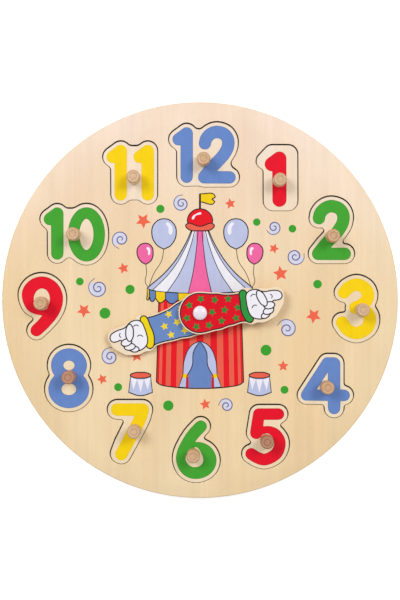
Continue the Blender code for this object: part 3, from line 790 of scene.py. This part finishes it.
# %% The first peg, and its copies
peg_low, peg_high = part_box("peg_1")
PEG_RADIUS = (peg_high.x - peg_low.x) / 2
PEG_TOP = peg_high.z
PEG_SIDES = 48
PEG_ROUNDING = 1.2 * MM
PEG_SEGMENTS = 5
FOOT_ROUNDING = 0.3 * MM
FOOT_SEGMENTS = 2
DISH_RING = 0.9 * MM
DISH_DEPTH = 0.22 * MM
GROOVE_BELOW = PEG_TOP - 0.6 * DISH_DEPTH
STEAMED_PEGS = (5, 8)


def groove(polygon):
    """Whether a face lies in the ring that the lathe cut into a peg's top."""
    return polygon.normal.z > UPWARD and polygon.center.z < GROOVE_BELOW


def round_end(piece, level, width, segments):
    """Rounds the edge of the level cap at a height."""
    edit(piece, lambda face: abs(face.normal.z) > LEVEL and
         abs(face.calc_center_median().z - level) < MERGE)
    bpy.ops.mesh.region_to_loop()
    bpy.ops.mesh.bevel(offset=width, segments=segments, affect="EDGES")
    leave_edit()


bpy.ops.mesh.primitive_cylinder_add(vertices=PEG_SIDES, radius=PEG_RADIUS, depth=PEG_TOP - FACE_TOP,
                                    location=(0, 0, (PEG_TOP + FACE_TOP) / 2))
first_peg = bpy.context.object
bpy.ops.object.transform_apply(location=True)
round_end(first_peg, PEG_TOP, PEG_ROUNDING, PEG_SEGMENTS)
round_end(first_peg, FACE_TOP, FOOT_ROUNDING, FOOT_SEGMENTS)
edit(first_peg, lambda face: face.normal.z > LEVEL and face.calc_area() > PEG_RADIUS ** 2)
for rise in (-DISH_DEPTH, DISH_DEPTH / 2):
    bpy.ops.mesh.inset(thickness=DISH_RING / 2)
    bpy.ops.mesh.inset(thickness=DISH_RING / 2, depth=rise)
leave_edit()
shade_turned(first_peg)

for hour in HOURS:
    peg = first_peg.copy()
    peg.data = first_peg.data.copy()
    peg.name = peg.data.name = "turned_peg_%d" % hour
    bpy.context.scene.collection.objects.link(peg)
    low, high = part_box("peg_%d" % hour)
    pick(peg).location = ((low.x + high.x) / 2, (low.y + high.y) / 2, 0)
    bpy.ops.object.transform_apply(location=True)
    steamed = hour in STEAMED_PEGS
    # The groove in each peg's top takes the darker beech, its painted shade.
    finishes = (STEAMED_BEECH, STEAMED_GROOVE_SHADE) if steamed else (PEG_BEECH, PEG_GROOVE_SHADE)
    coat(peg, finishes, groove)
    dress(peg, "numeral_%d" % hour, "peg_beech", ["peg_%d" % hour])
bpy.data.objects.remove(first_peg)
print("peg radius", round(PEG_RADIUS, 4), "height", round(PEG_TOP - FACE_TOP, 4))

# %% [markdown]
# ## Hands
#
# The hands are sawn from thin plywood, and a border of bare wood is left round their print. They
# are made as the plates are, from the outline of the solid's top face. It has no sharp corners,
# so automatic Bezier handles may bend each chord, which is smoother than rounding the corners.

# %% The two hands in bare wood
HANDS = ("hour_hand", "minute_hand")
HAND_EASED = 0.4 * MM
HAND_BURNT = 0.18

for hand in HANDS:
    low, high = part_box(hand)
    blank = copy_solid(hand, hand + "_blank")
    outline_of(blank, top_face(hand))
    fill_outline(blank, low.z, high.z, bend=True)
    ease_edges(blank, HAND_EASED)
    hand_edge = plies(hand + "_edge", low.z, high.z, THIN_PLIES, HAND_BURNT)
    coat(blank, [HAND_BIRCH, hand_edge], sheet_finish)
    dress(blank, hand, "hand_birch", [hand])
    print(hand, "from", round(low.z, 4), "to", round(high.z, 4))

# %% [markdown]
# ## Pivot
#
# The hands turn on a plastic pin under a small domed cap. The cap is half of a sphere, flattened,
# with a short straight rim: a UV sphere is cut by Bisect, squashed by Resize, and its open edge
# is pulled down. Its plastic is white with a faint cool tint. The pin and the washers are small
# turned forms that hardly show, so their solids only get eased edges.

# %% White plastic and clear nylon
def plastic(name, colour, shine):
    """Moulded plastic with a fine even skin and a few rubbed places."""
    skin = Finish(name, Specular_IOR_Level=0.5)
    grain = skin.noise((4200, 4200, 4200), detail=2)
    rubbed = skin.noise((260, 260, 260), detail=3).between(0.55, 0.7)
    tone = 1 + (grain - 0.5) * 0.04 - rubbed * 0.03
    colour = skin.mix(1, colour, tone, "MULTIPLY")
    return skin.finish(colour, shine + rubbed * 0.15, grain, 0.01 * MM, 0.4)


WHITE_PLASTIC = plastic("white_plastic", shade(238, 228, 240), 0.25)
CLEAR_NYLON = plastic("clear_nylon", shade(226, 226, 220), 0.35)

# %% The domed cap
cap_low, cap_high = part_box("pivot_cap")
CAP_RADIUS = (cap_high.x - cap_low.x) / 2
CAP_RIM_TOP = 18.5 * MM
CAP_ROUNDING = 0.4 * MM
CAP_SEGMENTS = 3
CAP_SIDES = 48
TURNED_EASED = 0.15 * MM
TURNED_SEGMENTS = 2


def below_rim(face):
    return face.calc_center_median().z < CAP_RIM_TOP + MERGE and abs(face.normal.z) > LEVEL


bpy.ops.mesh.primitive_uv_sphere_add(segments=CAP_SIDES, ring_count=CAP_SIDES // 2,
                                     radius=CAP_RADIUS, location=(PIVOT.x, PIVOT.y, CAP_RIM_TOP))
cap = bpy.context.object
cap.name = cap.data.name = "domed_cap"
bpy.ops.object.transform_apply(location=True)
edit(cap, everything)
bpy.ops.mesh.bisect(plane_co=(PIVOT.x, PIVOT.y, CAP_RIM_TOP), plane_no=(0, 0, 1), clear_inner=True,
                    use_fill=True)
bpy.ops.mesh.select_all(action="SELECT")
bpy.ops.transform.resize(value=(1, 1, (cap_high.z - CAP_RIM_TOP) / CAP_RADIUS),
                         center_override=(PIVOT.x, PIVOT.y, CAP_RIM_TOP))
leave_edit()
edit(cap, below_rim)
rim_fall = {"value": (0, 0, cap_low.z - CAP_RIM_TOP)}
bpy.ops.mesh.extrude_region_move(TRANSFORM_OT_translate=rim_fall)
leave_edit()
round_end(cap, cap_low.z, CAP_ROUNDING, CAP_SEGMENTS)
shade_turned(cap)
coat(cap, [WHITE_PLASTIC])
dress(cap, "board", "white_plastic", ["pivot_cap"])

for node in ("pivot_pin", "spacer_washer_lower", "spacer_washer_upper", "back_washer"):
    turned = copy_solid(node, node + "_turned")
    ease_edges(turned, TURNED_EASED, TURNED_SEGMENTS)
    shade_turned(turned)
    finish = WHITE_PLASTIC if node == "pivot_pin" else CLEAR_NYLON
    coat(turned, [finish])
    slot = "white_plastic" if node == "pivot_pin" else "clear_nylon"
    dress(turned, "board", slot, [node])
print("cap radius", round(CAP_RADIUS, 4), "faces", len(cap.data.polygons))

# %% [markdown]
# ## Pictures in flat ink
#
# The middle of the dial and the hands carry pictures: flat areas of ink with a thin dark outline.
# A picture could be an image texture, but it would blur in a close view. Here each area is a
# closed Bezier curve through a few points, filled and pulled up a little, and each line is a
# curve with a narrow bevelled section, pressed flat. Each layer lies a hair higher than the one
# before, as in screen printing, where the light inks go down first and the dark outline last.

# %% Laying flat inks over each other
INK_STEP = 0.012 * MM
INK_SUNK = 0.03 * MM
LINE_RISE = 0.008 * MM
LINE_TALL = 3
WELD = 0.002 * MM
SHARP = "sharp"


def to_mesh(piece):
    pick(piece)
    bpy.ops.object.convert(target="MESH")
    return piece


class Picture:
    """A picture in flat inks, in millimetres on its own plane, laid in place by a matrix."""

    def __init__(self, name, base, place=Matrix(), fineness=6):
        self.name = name
        self.base = base
        self.place = place
        self.fineness = fineness
        self.pieces = []

    def curve(self, lines, closed, taper=None, **settings):
        """One curve object. A point that is marked sharp is a corner, and the others are smooth."""
        curve = bpy.data.curves.new(self.name, "CURVE")
        curve.twist_mode = "Z_UP"
        curve.resolution_u = self.fineness
        for name, value in settings.items():
            setattr(curve, name, value)
        for points in lines:
            spline = curve.splines.new("BEZIER")
            spline.use_cyclic_u = closed
            spline.bezier_points.add(len(points) - 1)
            for number, (x, y, *notes) in enumerate(points):
                knot = spline.bezier_points[number]
                place = self.place @ Vector((x * MM, y * MM, 0))
                knot.co = (place.x, place.y, 0)
                kind = "VECTOR" if SHARP in notes else "AUTO"
                knot.handle_left_type = knot.handle_right_type = kind
                knot.radius = taper(number / (len(points) - 1)) if taper else 1
        piece = bpy.data.objects.new(self.name, curve)
        bpy.context.scene.collection.objects.link(piece)
        return to_mesh(piece)

    def lay(self, piece, height, tall, ink):
        """Presses a piece to its height and sinks its foot just below the surface."""
        edit(piece, everything)
        squeeze = (1, 1, height / tall)
        bpy.ops.transform.resize(value=squeeze, center_override=(0, 0, 0))
        bpy.ops.transform.translate(value=(0, 0, self.base - INK_SUNK + height / 2))
        bpy.ops.mesh.remove_doubles(threshold=WELD)
        bpy.ops.mesh.normals_make_consistent(inside=False)
        leave_edit()
        coat(piece, [ink])
        self.pieces.append(piece)

    def areas(self, layer, ink, *outlines):
        """Fills closed outlines."""
        piece = self.curve(outlines, True, dimensions="2D", fill_mode="BOTH", extrude=MM)
        self.lay(piece, INK_SUNK + layer * INK_STEP, 2 * MM, ink)

    def lines(self, layer, ink, width, *lines, closed=False, taper=None):
        """Draws lines of a width, which may taper along their length."""
        width = width * MM
        piece = self.curve(lines, closed, taper, dimensions="3D", extrude=width * LINE_TALL,
                           bevel_depth=width / 2, bevel_resolution=1, use_fill_caps=True)
        tall = width * (2 * LINE_TALL + 1)
        self.lay(piece, INK_SUNK + layer * INK_STEP + LINE_RISE, tall, ink)

    def done(self, body, slot=None):
        """Joins the inks into one piece and hangs it on its body."""
        bpy.ops.object.select_all(action="DESELECT")
        for piece in self.pieces:
            piece.select_set(True)
        picture = bpy.context.view_layer.objects.active = self.pieces[0]
        bpy.ops.object.join()
        picture.name = picture.data.name = self.name
        print(self.name, "has", len(picture.data.polygons), "faces")
        dress(picture, body, slot)


print("each layer of ink lies", round(INK_STEP / MM, 3), "mm over the last")

# %% Shapes that the pictures repeat
STAR_WAIST = 0.47


def star(x, y, width, turn=0, points=5):
    """The corners of a star that fits a circle of the width."""
    corners = []
    for number in range(2 * points):
        angle = math.radians(turn + 90) + number * math.pi / points
        reach = width / 2 * (STAR_WAIST if number % 2 else 1)
        corners.append((x + reach * math.cos(angle), y + reach * math.sin(angle), SHARP))
    return corners


def disc(x, y, width, height=None, turn=0, points=8):
    """A circle, or an ellipse where a height is given, turned by an angle."""
    lean = math.radians(turn)
    outline = []
    for number in range(points):
        angle = 2 * math.pi * number / points
        along, up = width / 2 * math.cos(angle), (height or width) / 2 * math.sin(angle)
        outline.append((x + along * math.cos(lean) - up * math.sin(lean),
                        y + along * math.sin(lean) + up * math.cos(lean)))
    return outline


def mirrored(points):
    """The same shape on the other side of the middle."""
    return [(-x, y, *notes) for x, y, *notes in points]


def both(*shapes):
    """The shapes, and then their mirrored ones."""
    return [*shapes, *[mirrored(shape) for shape in shapes]]


print("a star has", len(star(0, 0, 1)), "corners")

# %% [markdown]
# ## Printed sleeves and gloves
#
# Each hand shows a sleeve with stars, a plain cuff and a white glove that points at the hour or
# the minute. The sleeve follows the sawn outline, so it comes from the top of the hand's solid:
# Inset leaves the bare border, and Bisect cuts the sleeve off under the cuff. The cuff and the
# glove are drawn back from the fingertip in shares of the glove's length, so one drawing serves
# both hands, and the minute hand's is turned over.

# %% Inks of the hands
OUTLINE = ink("outline_ink", shade(24, 19, 28))
GLOVE_WHITE = ink("glove_white", shade(242, 240, 246))
SLEEVE_RED = ink("sleeve_red", shade(220, 8, 34))
SLEEVE_BLUE = ink("sleeve_blue", shade(106, 138, 194))
STAR_GREEN = ink("star_green", shade(44, 134, 52))
STAR_YELLOW = ink("star_yellow", shade(244, 214, 46))
CUFF_GREEN = ink("cuff_green", shade(44, 148, 60))
CUFF_YELLOW = ink("cuff_yellow", shade(240, 212, 12))
print("hand inks:", len((OUTLINE, GLOVE_WHITE, SLEEVE_RED, SLEEVE_BLUE, STAR_GREEN, CUFF_GREEN)))

# %% The drawing of a cuff and a glove
GLOVE_LENGTH = 24.9
CUFF = ((-0.86, 0.30), (-0.93, 0.375), (-1.03, 0.355), (-1.07, 0.29), (-1.10, 0.05), (-1.13, -0.20),
        (-1.10, -0.42), (-1.01, -0.60), (-0.93, -0.625), (-0.86, -0.60), (-0.83, -0.53),
        (-0.90, -0.38), (-0.925, -0.18), (-0.90, 0.08))
GLOVE = ((0.175, -0.03), (0.13, 0.08), (0.03, 0.135), (-0.14, 0.165), (-0.30, 0.175), (-0.40, 0.21),
         (-0.50, 0.28), (-0.64, 0.315), (-0.78, 0.295), (-0.875, 0.21), (-0.915, 0.02),
         (-0.925, -0.18), (-0.90, -0.38), (-0.83, -0.50), (-0.70, -0.575), (-0.55, -0.60),
         (-0.40, -0.575), (-0.30, -0.515), (-0.265, -0.455), (-0.185, -0.41), (-0.155, -0.335),
         (-0.175, -0.265), (-0.14, -0.21), (-0.135, -0.155), (0.00, -0.155), (0.125, -0.13))
CURLED_FINGERS = ((-0.45, -0.52, 0.27, 0.17, 16), (-0.33, -0.41, 0.33, 0.2, 8),
                  (-0.27, -0.255, 0.33, 0.21, -4))
THUMB = (-0.44, 0.0, 0.23, 0.52, 16)
GLOVE_LINES = (((-0.165, 0.07), (-0.12, 0.0), (-0.155, -0.07)),
               ((-0.80, -0.22), (-0.72, -0.15), (-0.63, -0.17)),
               ((-0.76, 0.13), (-0.68, 0.175), (-0.60, 0.15)))
HAND_STARS = ((-6.5, 7.5), (3, 10), (13, 7), (23, 5.5), (-10.5, -1.5), (9, -1.5), (18.5, -2),
              (28.5, -2.5), (-5, -9.5), (4.5, -10.5), (14.5, -9.5), (25.5, -10))
HAND_STAR_WIDTH = 6.3
HAND_STAR_TURN = 20


def shares(points, tip):
    """Points in shares of the glove's length behind the tip, as millimetres from the pivot."""
    return [(tip + x * GLOVE_LENGTH, y * GLOVE_LENGTH) for x, y in points]


print("cuff and glove have", len(CUFF), "and", len(GLOVE), "points")

# %% Print each hand
BARE_BORDER = 0.8 * MM
LINE_WIDTH = 0.85
FINE_LINE = 0.8
HAND_FINENESS = 8
SLEEVE_END = 36.0
FINGER_LAYERS = (8, 10, 12, 14)
# The hand's angle, its side, its tip, how far its sleeve is longer, and its inks
HAND_PRINTS = {"hour_hand": (13.3, 1, 58.6, 0, SLEEVE_RED, STAR_GREEN, CUFF_GREEN),
               "minute_hand": (195.8, -1, 66.1, 7.5, SLEEVE_BLUE, STAR_YELLOW, CUFF_YELLOW)}


def sleeve(picture, hand, layer, inset, end, ink):
    """Fills the hand's outline, inset by a border and cut off at the end."""
    piece = copy_solid(hand, "sleeve")
    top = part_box(hand)[1].z
    keep_faces(piece, top_face(hand))
    edit(piece, everything)
    bpy.ops.mesh.inset(thickness=inset)
    bpy.ops.mesh.select_all(action="INVERT")
    bpy.ops.mesh.delete(type="FACE")
    bpy.ops.mesh.select_all(action="SELECT")
    cut = picture.place @ Vector((end * MM, 0, 0))
    along = picture.place.to_3x3() @ Vector((1, 0, 0))
    bpy.ops.mesh.bisect(plane_co=cut, plane_no=along, clear_outer=True)
    leave_edit()
    outline_of(piece, everything)
    fill_outline(piece, top - INK_SUNK, top + layer * INK_STEP, bend=True)
    coat(piece, [ink])
    picture.pieces.append(piece)


for hand, (angle, side, tip, shift, sleeve_ink, star_ink, cuff_ink) in HAND_PRINTS.items():
    turn = Matrix.Rotation(math.radians(angle), 4, "Z") @ Matrix.Scale(side, 4, (0, 1, 0))
    place = Matrix.Translation(PIVOT) @ turn
    picture = Picture(hand + "_print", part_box(hand)[1].z, place, HAND_FINENESS)
    sleeve(picture, hand, 1, BARE_BORDER, SLEEVE_END + shift, OUTLINE)
    sleeve(picture, hand, 2, BARE_BORDER + LINE_WIDTH * MM, SLEEVE_END + shift, sleeve_ink)
    picture.areas(3, star_ink, *[star(x, y, HAND_STAR_WIDTH, HAND_STAR_TURN * number)
                                 for number, (x, y) in enumerate(HAND_STARS)])
    picture.areas(4, cuff_ink, shares(CUFF, tip))
    picture.lines(5, OUTLINE, LINE_WIDTH, shares(CUFF, tip), closed=True)
    picture.areas(6, GLOVE_WHITE, shares(GLOVE, tip))
    picture.lines(7, OUTLINE, LINE_WIDTH, shares(GLOVE, tip), closed=True)
    picture.lines(7, OUTLINE, LINE_WIDTH * FINE_LINE, *[shares(line, tip) for line in GLOVE_LINES])
    for layer, finger in zip(FINGER_LAYERS, (*CURLED_FINGERS, THUMB)):
        outline = shares(disc(*finger), tip)
        picture.areas(layer, GLOVE_WHITE, outline)
        picture.lines(layer + 1, OUTLINE, LINE_WIDTH, outline, closed=True)
    picture.done(hand)

# %% [markdown]
# ## The tent in the middle
#
# A circus tent stands in the middle of the dial, between two podiums and under a few balloons, in
# soft blue, pink, red and coral. A round tent looks flat unless its stripes and panels grow
# narrower towards its sides. So every upright edge is put at an equal step of angle round the
# tent, and its place across the picture is the sine of that angle. The foot, the eaves and the
# scallops bow down in the middle by the cosine.
#
# One picture holds the whole print. The stripes go down first, then what hangs in front of them,
# and the dark outline last.

# %% Inks of the middle
MIST = ink("mist_blue", shade(190, 196, 228))
PALE = ink("pale_white", shade(240, 238, 246))
PINK = ink("tent_pink", shade(242, 104, 164))
TENT_RED = ink("tent_red", shade(232, 20, 34))
CORAL = ink("tent_coral", shade(234, 98, 76))
TENT_BLUE = ink("tent_blue", shade(104, 134, 192))
TENT_YELLOW = ink("tent_yellow", shade(244, 206, 20))
print("tent inks:", [finish.name for finish in (MIST, PALE, PINK, TENT_RED, CORAL)])

# %% Where the tent's upright edges fall
WALL_HALF = 33.0
WALL_LEAN = 0.94
FOOT = -62.0
FOOT_BOW = 5.0
WALL_TOP = 4.0
EAVES_HALF = 40.0
EAVES = 9.0
EAVES_BOW = 4.0
APEX = 57.0
STRIPES = 19
PANELS = 7
SCALLOPS = 11
SCALLOP_FALL = 5.5
SCALLOP_ROUND = 3.0
ROOF_SAG = ((0.12, 0.99), (0.3, 0.66), (0.6, 0.3))


def steps_round(count):
    """Equal steps of angle across the front of a round tent, from its left to its right."""
    return [math.pi * (number / count - 0.5) for number in range(count + 1)]


def pairs(count):
    edges = steps_round(count)
    return list(zip(edges, edges[1:]))


def foot_point(angle):
    return (WALL_HALF * math.sin(angle), FOOT - FOOT_BOW * math.cos(angle))


def eaves_point(angle, fall=0.0):
    return (EAVES_HALF * math.sin(angle), EAVES - EAVES_BOW * math.cos(angle) - fall)


def roof_edge(angle):
    """One edge of a roof panel, sagging from the apex to the eaves."""
    x, y = eaves_point(angle)
    return [(x * out, y + (APEX - y) * up) for out, up in ROOF_SAG]


def stripe(left, right):
    """A stripe of the wall between two angles."""
    inner = [foot_point(left + (right - left) * share) for share in (0, 0.5, 1)]
    top = [(x * WALL_LEAN, WALL_TOP) for x, _ in (inner[2], inner[0])]
    return [(x, y, SHARP) for x, y in inner + top]


def panel(left, right):
    """A panel of the roof between two angles."""
    middle = eaves_point((left + right) / 2)
    corners = [(*eaves_point(left), SHARP), middle, (*eaves_point(right), SHARP)]
    return roof_edge(left) + corners + roof_edge(right)[::-1]


def scallop(left, right):
    """A rounded flap of the eaves between two angles."""
    low = eaves_point((left + right) / 2, SCALLOP_FALL + SCALLOP_ROUND)
    top = [(*eaves_point(left), SHARP), (*eaves_point(left, SCALLOP_FALL), SHARP)]
    return top + [low, (*eaves_point(right, SCALLOP_FALL), SHARP), (*eaves_point(right), SHARP)]


print("the middle stripe is", round(2 * WALL_HALF * math.sin(math.pi / STRIPES / 2), 2), "mm wide")

# %% Print the tent
DOORWAY = ((-8.5, -66.5, SHARP), (-8.5, -52), (-6, -38), (0, -31, SHARP), (6, -38), (8.5, -52),
           (8.5, -66.5, SHARP))
FLAP = ((0.1, -31, SHARP), (-4.8, -39), (-6, -50), (-10, -57.5, SHARP), (-10.5, -66.3, SHARP),
        (-16, -65.8, SHARP), (-13, -57, SHARP), (-11.5, -44), (-6.5, -34.5))
TIE = ((-13.4, -58.4), (-9.8, -58.6), (-9.7, -56.6), (-13.2, -56.2))
PODIUM = ((37.5, -57, SHARP), (36, -70, SHARP), (45, -72.5), (54, -70, SHARP), (52.5, -57, SHARP),
          (45, -59))
PODIUM_TOP = (45, -57, 15.5, 4.5)
PODIUM_TEETH = (((37.4, -58.8, SHARP), (39.5, -68, SHARP), (42.3, -60.2, SHARP)),
                ((42.5, -60.2, SHARP), (45, -70, SHARP), (47.5, -60.2, SHARP)),
                ((47.7, -60.2, SHARP), (50.5, -68, SHARP), (52.6, -58.8, SHARP)))
BALLOON = ((27, 61.5), (34, 58.5), (36.5, 51), (33, 42), (27.5, 38.5, SHARP), (22, 41.5),
           (18, 50.5), (20.5, 58.5))
BALLOON_GLINT = ((22.5, 57.5), (25.5, 58.5), (24, 55), (22.5, 49.5), (20.8, 52.5))
SMALL_BALLOON = ((41.5, 43), (46.5, 40.5), (47.5, 34.5), (44.5, 29), (41, 27, SHARP), (37, 30),
                 (35.5, 36), (37, 41))
SMALL_GLINT = ((39, 40), (40.5, 39.5), (39.3, 37), (38.8, 34), (37.6, 36.5))
STRINGS = (((27.5, 38.5), (29, 30), (35, 20), (39, 9)), ((41, 27), (40.5, 20), (41.5, 14), (39, 9)))
CUPOLA = ((-8.5, 56, SHARP), (-9.5, 61), (-6, 67), (0, 69), (6, 67), (9.5, 61), (8.5, 56, SHARP),
          (0, 54.5))
CUPOLA_GLINT = ((-6.2, 62), (-3, 65.2), (1, 65.8), (-3, 64), (-5.6, 61))
CUPOLA_BRIM = ((-10.5, 57.2), (-10, 54.6), (0, 52.4), (10, 54.6), (10.5, 57.2), (0, 55.8))
MAST = ((0, 69), (0, 80.5))
MAST_FLAG = ((0.3, 80.5, SHARP), (11.5, 78.6), (9, 76.4, SHARP), (11, 74), (0.3, 74.4, SHARP))
TENT_LINE = 0.8
SEAM_LINE = 0.7
STRING_LINE = 0.6
MAST_LINE = 1.8
FOOT_STEPS = 8
PANEL_INKS = (MIST, PALE, MIST, PINK, MIST, PALE, MIST)

tent = Picture("tent_print", FACE_TOP)
for number, (left, right) in enumerate(pairs(STRIPES)):
    tent.areas(4, TENT_RED if number % 2 else CORAL, stripe(left, right))
tent.areas(5, TENT_BLUE, DOORWAY)
tent.areas(6, MIST, *both(FLAP))
tent.areas(7, TENT_YELLOW, *both(TIE))
tent.lines(7, OUTLINE, TENT_LINE * FINE_LINE, *both(FLAP), closed=True)
for number, (left, right) in enumerate(pairs(PANELS)):
    tent.areas(5 + number % 2, PANEL_INKS[number], panel(left, right))
for number, (left, right) in enumerate(pairs(SCALLOPS)):
    tent.areas(8, TENT_BLUE if number % 2 else TENT_YELLOW, scallop(left, right))
tent.areas(8, TENT_RED, CUPOLA)
tent.areas(9, PALE, CUPOLA_GLINT)
tent.areas(10, CORAL, CUPOLA_BRIM)
tent.areas(8, TENT_YELLOW, MAST_FLAG)
tent.areas(1, PINK, *both(SMALL_BALLOON))
tent.areas(3, MIST, *both(BALLOON))
tent.areas(4, PALE, *both(BALLOON_GLINT, SMALL_GLINT))
tent.areas(1, MIST, *both(PODIUM))
tent.areas(2, PALE, *both(*PODIUM_TEETH))
tent.areas(3, CORAL, *both(disc(*PODIUM_TOP)))
print("tent areas:", len(tent.pieces))

# %% Draw its outlines
side = [(*foot_point(math.pi / 2), SHARP), (WALL_HALF * WALL_LEAN, WALL_TOP, SHARP)]
foot = [foot_point(angle) for angle in steps_round(FOOT_STEPS)]
tent.lines(5, OUTLINE, TENT_LINE, *both(side), foot)
edges = [roof_edge(angle) + [eaves_point(angle)] for angle in steps_round(PANELS)]
tent.lines(7, OUTLINE, TENT_LINE, edges[0], edges[-1])
tent.lines(7, OUTLINE, TENT_LINE * SEAM_LINE, *edges[1:-1])
flaps = [scallop(left, right) for left, right in pairs(SCALLOPS)]
tent.lines(9, OUTLINE, TENT_LINE, *flaps[::2], closed=True)
tent.lines(9, OUTLINE, TENT_LINE, *[flap[1:4] for flap in flaps[1::2]],
           *[flap[::4] for flap in flaps[1::2]])
tent.lines(9, OUTLINE, TENT_LINE, CUPOLA, MAST_FLAG, closed=True)
tent.lines(9, OUTLINE, TENT_LINE * MAST_LINE, MAST)
tent.lines(11, OUTLINE, TENT_LINE, CUPOLA_BRIM, closed=True)
for shape in (SMALL_BALLOON, PODIUM):
    tent.lines(2, OUTLINE, TENT_LINE, *both(shape), closed=True)
for shape in (BALLOON, disc(*PODIUM_TOP)):
    tent.lines(4, OUTLINE, TENT_LINE, *both(shape), closed=True)
for string in STRINGS:
    tent.lines(4, OUTLINE, TENT_LINE * STRING_LINE, *both(string))
tent.done("board")

# %% [markdown]
# ## Stars, dots and spirals
#
# Small stars, dots and spirals fill the ring between the tent and the numerals. They keep clear
# of the plates, since a sawn line through a motif would look like a mistake. A spiral is a curve
# whose distance from its middle grows with the turn. The print of one is a brush stroke, so its
# line swells and then thins out at the end. Its last turn is also closed and filled with a pale
# ink, which lies under the line.

# %% Print the confetti
CONFETTI_CORAL = ink("confetti_coral", shade(240, 104, 76))
CONFETTI_GREEN = ink("confetti_green", shade(58, 160, 44))
CONFETTI_BLUE = ink("confetti_blue", shade(104, 102, 156))
CONFETTI_PALE = ink("confetti_pale", shade(216, 216, 234))
SPIRAL_WIDTH = 0.85
SPIRAL_OPENING = 1.2
SPIRAL_START = 0.9
SPIRAL_STEP = math.radians(40)
LAST_TURN = 9
STARS = ((61, 20, 12, 8), (86, -12, 12, 30), (63, -50, 8.8, 0), (56, 39, 8.2, 50),
         (23, 73, 8.6, 12), (-43, 60, 12, 40), (-58, 24, 9, 16), (-88, -8, 11, 33),
         (-48, -42, 10.5, 5), (-74, -60, 8.5, 22), (4, -79, 8.8, 10))
DOTS = ((89, 12, 6.5), (50, -38, 8.2), (64, -68, 6), (43, 59, 5.6), (70, 54, 5.8), (-30, 69, 6.2),
        (-53, 8, 7), (-91, 14, 5.8), (-72, -10, 8.2), (-62, -66, 6), (-24, -80, 7.8))
SPIRALS = ((72, 33, 14.5, 2.0, 20, 1), (66, -22, 16, 1.9, 200, 1), (56, 55, 12, 1.8, 120, -1),
           (-14, 73, 13.5, 2.0, 80, -1), (-60, 46, 14.5, 1.9, 300, 1), (-77, 9, 16, 2.1, 150, -1),
           (-68, -43, 14.5, 1.9, 40, -1), (20, -80, 12, 1.8, 260, 1))


def spiral(x, y, width, turns, start, way):
    """Points that wind out from near the middle, one way or the other."""
    points = []
    count = round(turns * 2 * math.pi / SPIRAL_STEP)
    for number in range(count + 1):
        share = number / count
        angle = math.radians(start) + way * number * SPIRAL_STEP
        reach = SPIRAL_START + (width / 2 - SPIRAL_START) * share ** SPIRAL_OPENING
        points.append((x + reach * math.cos(angle), y + reach * math.sin(angle)))
    return points


def brushed(share):
    """The width of a brush stroke along its length: it swells, then thins out."""
    return 0.8 + 0.3 * math.sin(math.pi * share) - 0.2 * share ** 3


confetti = Picture("confetti_print", FACE_TOP)
confetti.areas(1, CONFETTI_CORAL, *[star(*place) for place in STARS])
confetti.areas(1, CONFETTI_GREEN, *[disc(*place) for place in DOTS])
confetti.areas(1, CONFETTI_PALE, *[spiral(*place)[-LAST_TURN - 1:-1] for place in SPIRALS])
confetti.lines(2, CONFETTI_BLUE, SPIRAL_WIDTH, *[spiral(*place) for place in SPIRALS],
               taper=brushed)
confetti.done("board")
